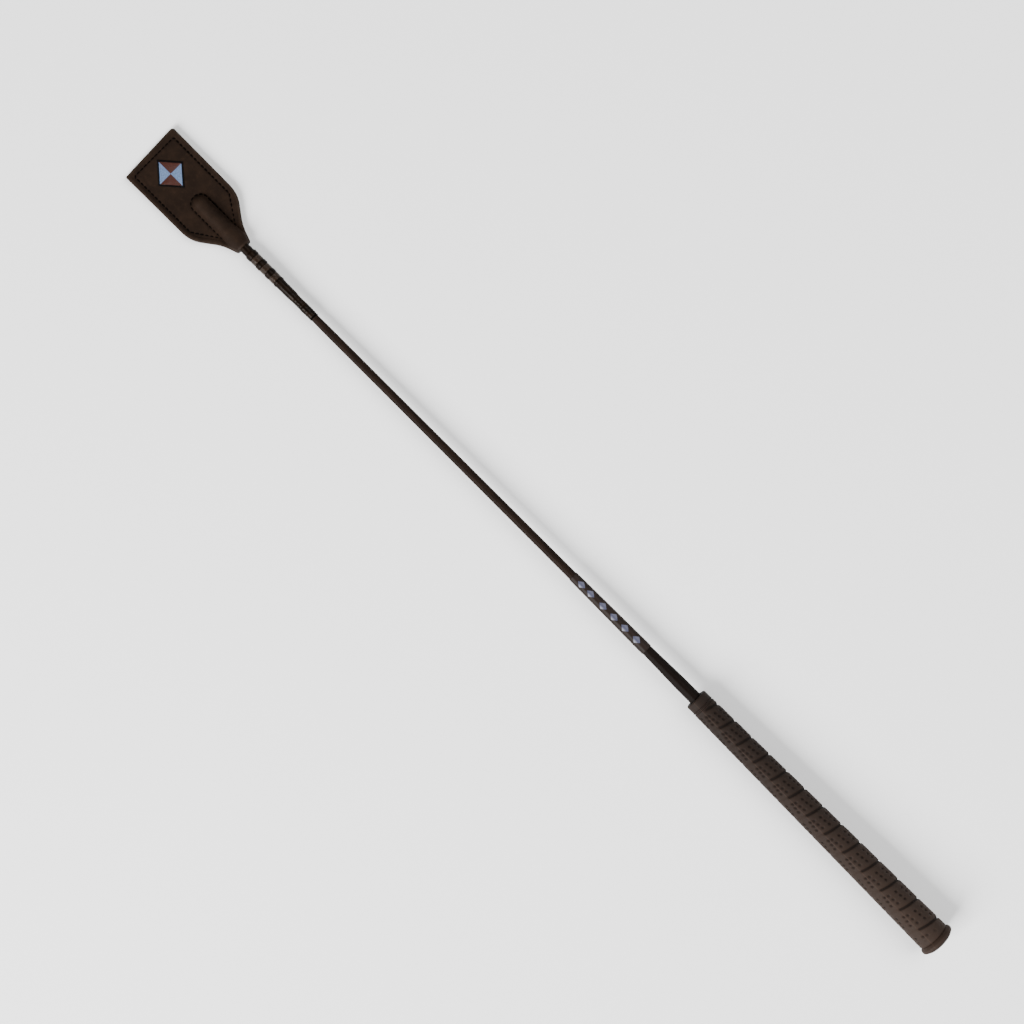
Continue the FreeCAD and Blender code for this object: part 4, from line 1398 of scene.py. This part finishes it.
def make_stage(colours):
    """Pale floor, soft lights and the camera straight above."""
    corners = []
    for side, end in ((-1, -1), (1, -1), (1, 1), (-1, 1)):
        x, y = side * FLOOR_REACH, end * FLOOR_REACH
        height = REST_HEIGHT + REST_SLOPE * (x - REST_SPOT)
        corners.append((x / MM, y / MM, height / MM))
    floor = new_piece("floor", corners, [(0, 1, 2, 3)], finish_of("floor", pale_floor, colours.floor))
    world = bpy.data.worlds.new("studio")
    world.use_nodes = True
    backdrop = world.node_tree.nodes["Background"]
    backdrop.inputs["Color"].default_value = (1.0, 1.0, 1.0, 1.0)
    backdrop.inputs["Strength"].default_value = SURROUND_LIGHT
    bpy.context.scene.world = world
    for lamp in LAMPS:
        soft_light(*lamp)
    camera = bpy.data.cameras.new("camera")
    camera.sensor_width = SENSOR_WIDTH
    camera.lens = SENSOR_WIDTH / 2.0 / math.tan(CAMERA_HALF_ANGLE)
    camera.clip_start, camera.clip_end = CLIP_SPAN
    holder = bpy.data.objects.new("camera", camera)
    slant = math.sqrt(0.5)
    right = Vector((-slant, -slant, 0.0))
    upward = Vector((slant, -slant, 0.0))
    turn = Matrix((right, upward, Vector((0.0, 0.0, 1.0)))).transposed().to_4x4()
    holder.matrix_world = Matrix.Translation(CAMERA_SPOT) @ turn
    bpy.context.scene.collection.objects.link(holder)
    bpy.context.scene.camera = holder


# Add-on


class CropOperator:
    """What all the crop's operators share."""

    bl_options = {"REGISTER", "UNDO"}


class CROP_OT_stage(CropOperator, bpy.types.Operator):
    """Lay the floor and set the lights and the camera"""

    bl_idname = "crop.stage"
    bl_label = "Stage"

    def execute(self, context):
        make_stage(context.scene.crop_colours)
        return {"FINISHED"}


class CROP_OT_cap(CropOperator, bpy.types.Operator):
    """Turn the flared rubber cap"""

    bl_idname = "crop.cap"
    bl_label = "Rubber Cap"

    def execute(self, context):
        make_cap(context.scene.crop_colours)
        return {"FINISHED"}


class CROP_OT_grip(CropOperator, bpy.types.Operator):
    """Mould the rubber grip with its spiral groove and dimples"""

    bl_idname = "crop.grip"
    bl_label = "Rubber Grip"

    def execute(self, context):
        make_grip(context.scene.crop_colours, context.scene.crop_grip)
        return {"FINISHED"}


class CROP_OT_braid(CropOperator, bpy.types.Operator):
    """Braid the thread over the rod"""

    bl_idname = "crop.braid"
    bl_label = "Braided Thread"

    def execute(self, context):
        make_braid(context.scene.crop_colours, context.scene.crop_shaft)
        return {"FINISHED"}


class CROP_OT_sleeve(CropOperator, bpy.types.Operator):
    """Shrink the sleeve on and print its lozenges"""

    bl_idname = "crop.sleeve"
    bl_label = "Printed Sleeve"

    def execute(self, context):
        make_sleeve(context.scene.crop_colours, context.scene.crop_shaft)
        return {"FINISHED"}


class CROP_OT_keeper(CropOperator, bpy.types.Operator):
    """Make the glossy keeper, its three bands and its end ring"""

    bl_idname = "crop.keeper"
    bl_label = "Keeper and Bands"

    def execute(self, context):
        make_keeper(context.scene.crop_colours, context.scene.crop_shaft)
        return {"FINISHED"}


class CROP_OT_leathers(CropOperator, bpy.types.Operator):
    """Shape the front and back leather of the flap"""

    bl_idname = "crop.leathers"
    bl_label = "Flap Leathers"

    def execute(self, context):
        colours = context.scene.crop_colours
        leather = finish_of("flap_leather", nubuck, colours.leather, colours.leather_edge)
        grid = flap_grid()
        make_leather("front_leather", leather, context.scene.crop_flap, grid, True)
        make_leather("back_leather", leather, context.scene.crop_flap, grid, False)
        return {"FINISHED"}


class CROP_OT_stitching(CropOperator, bpy.types.Operator):
    """Sew round the flap and round the tongue"""

    bl_idname = "crop.stitching"
    bl_label = "Stitching"

    def execute(self, context):
        make_stitching(context.scene.crop_colours, context.scene.crop_flap)
        return {"FINISHED"}


class CROP_OT_embroidery(CropOperator, bpy.types.Operator):
    """Embroider the quartered lozenge"""

    bl_idname = "crop.embroidery"
    bl_label = "Embroidery"

    def execute(self, context):
        make_embroidery(context.scene.crop_colours, context.scene.crop_flap)
        return {"FINISHED"}


class CROP_OT_hidden_parts(CropOperator, bpy.types.Operator):
    """Finish the rod, the grip's core and the stiffener board"""

    bl_idname = "crop.hidden_parts"
    bl_label = "Hidden Parts"

    def execute(self, context):
        finish_hidden_parts()
        return {"FINISHED"}


STEPS = [
    CROP_OT_stage,
    CROP_OT_cap,
    CROP_OT_grip,
    CROP_OT_braid,
    CROP_OT_sleeve,
    CROP_OT_keeper,
    CROP_OT_leathers,
    CROP_OT_stitching,
    CROP_OT_embroidery,
    CROP_OT_hidden_parts,
]
SETTINGS = {
    "crop_grip": GripSizes,
    "crop_shaft": ShaftSizes,
    "crop_flap": FlapSizes,
    "crop_colours": CropColours,
}


class CROP_PT_panel(bpy.types.Panel):
    """Sizes, colours and steps of the crop"""

    bl_idname = "CROP_PT_panel"
    bl_label = "Riding Crop"
    bl_space_type = "VIEW_3D"
    bl_region_type = "UI"
    bl_category = "Crop"

    def draw(self, context):
        layout = self.layout
        for holder in SETTINGS:
            box = layout.box()
            group = getattr(context.scene, holder)
            for name in group.__annotations__:
                box.prop(group, name)
        for step in STEPS:
            layout.operator(step.bl_idname)


def register():
    for group in SETTINGS.values():
        bpy.utils.register_class(group)
    for holder, group in SETTINGS.items():
        setattr(bpy.types.Scene, holder, bpy.props.PointerProperty(type=group))
    for step in [*STEPS, CROP_PT_panel]:
        bpy.utils.register_class(step)


def unregister():
    for step in [CROP_PT_panel, *reversed(STEPS)]:
        bpy.utils.unregister_class(step)
    for holder in SETTINGS:
        delattr(bpy.types.Scene, holder)
    for group in SETTINGS.values():
        bpy.utils.unregister_class(group)


def main():
    register()
    for step in STEPS:
        group, name = step.bl_idname.split(".")
        getattr(getattr(bpy.ops, group), name)()
    bpy.context.view_layer.update()


if __name__ == "__main__":
    main()
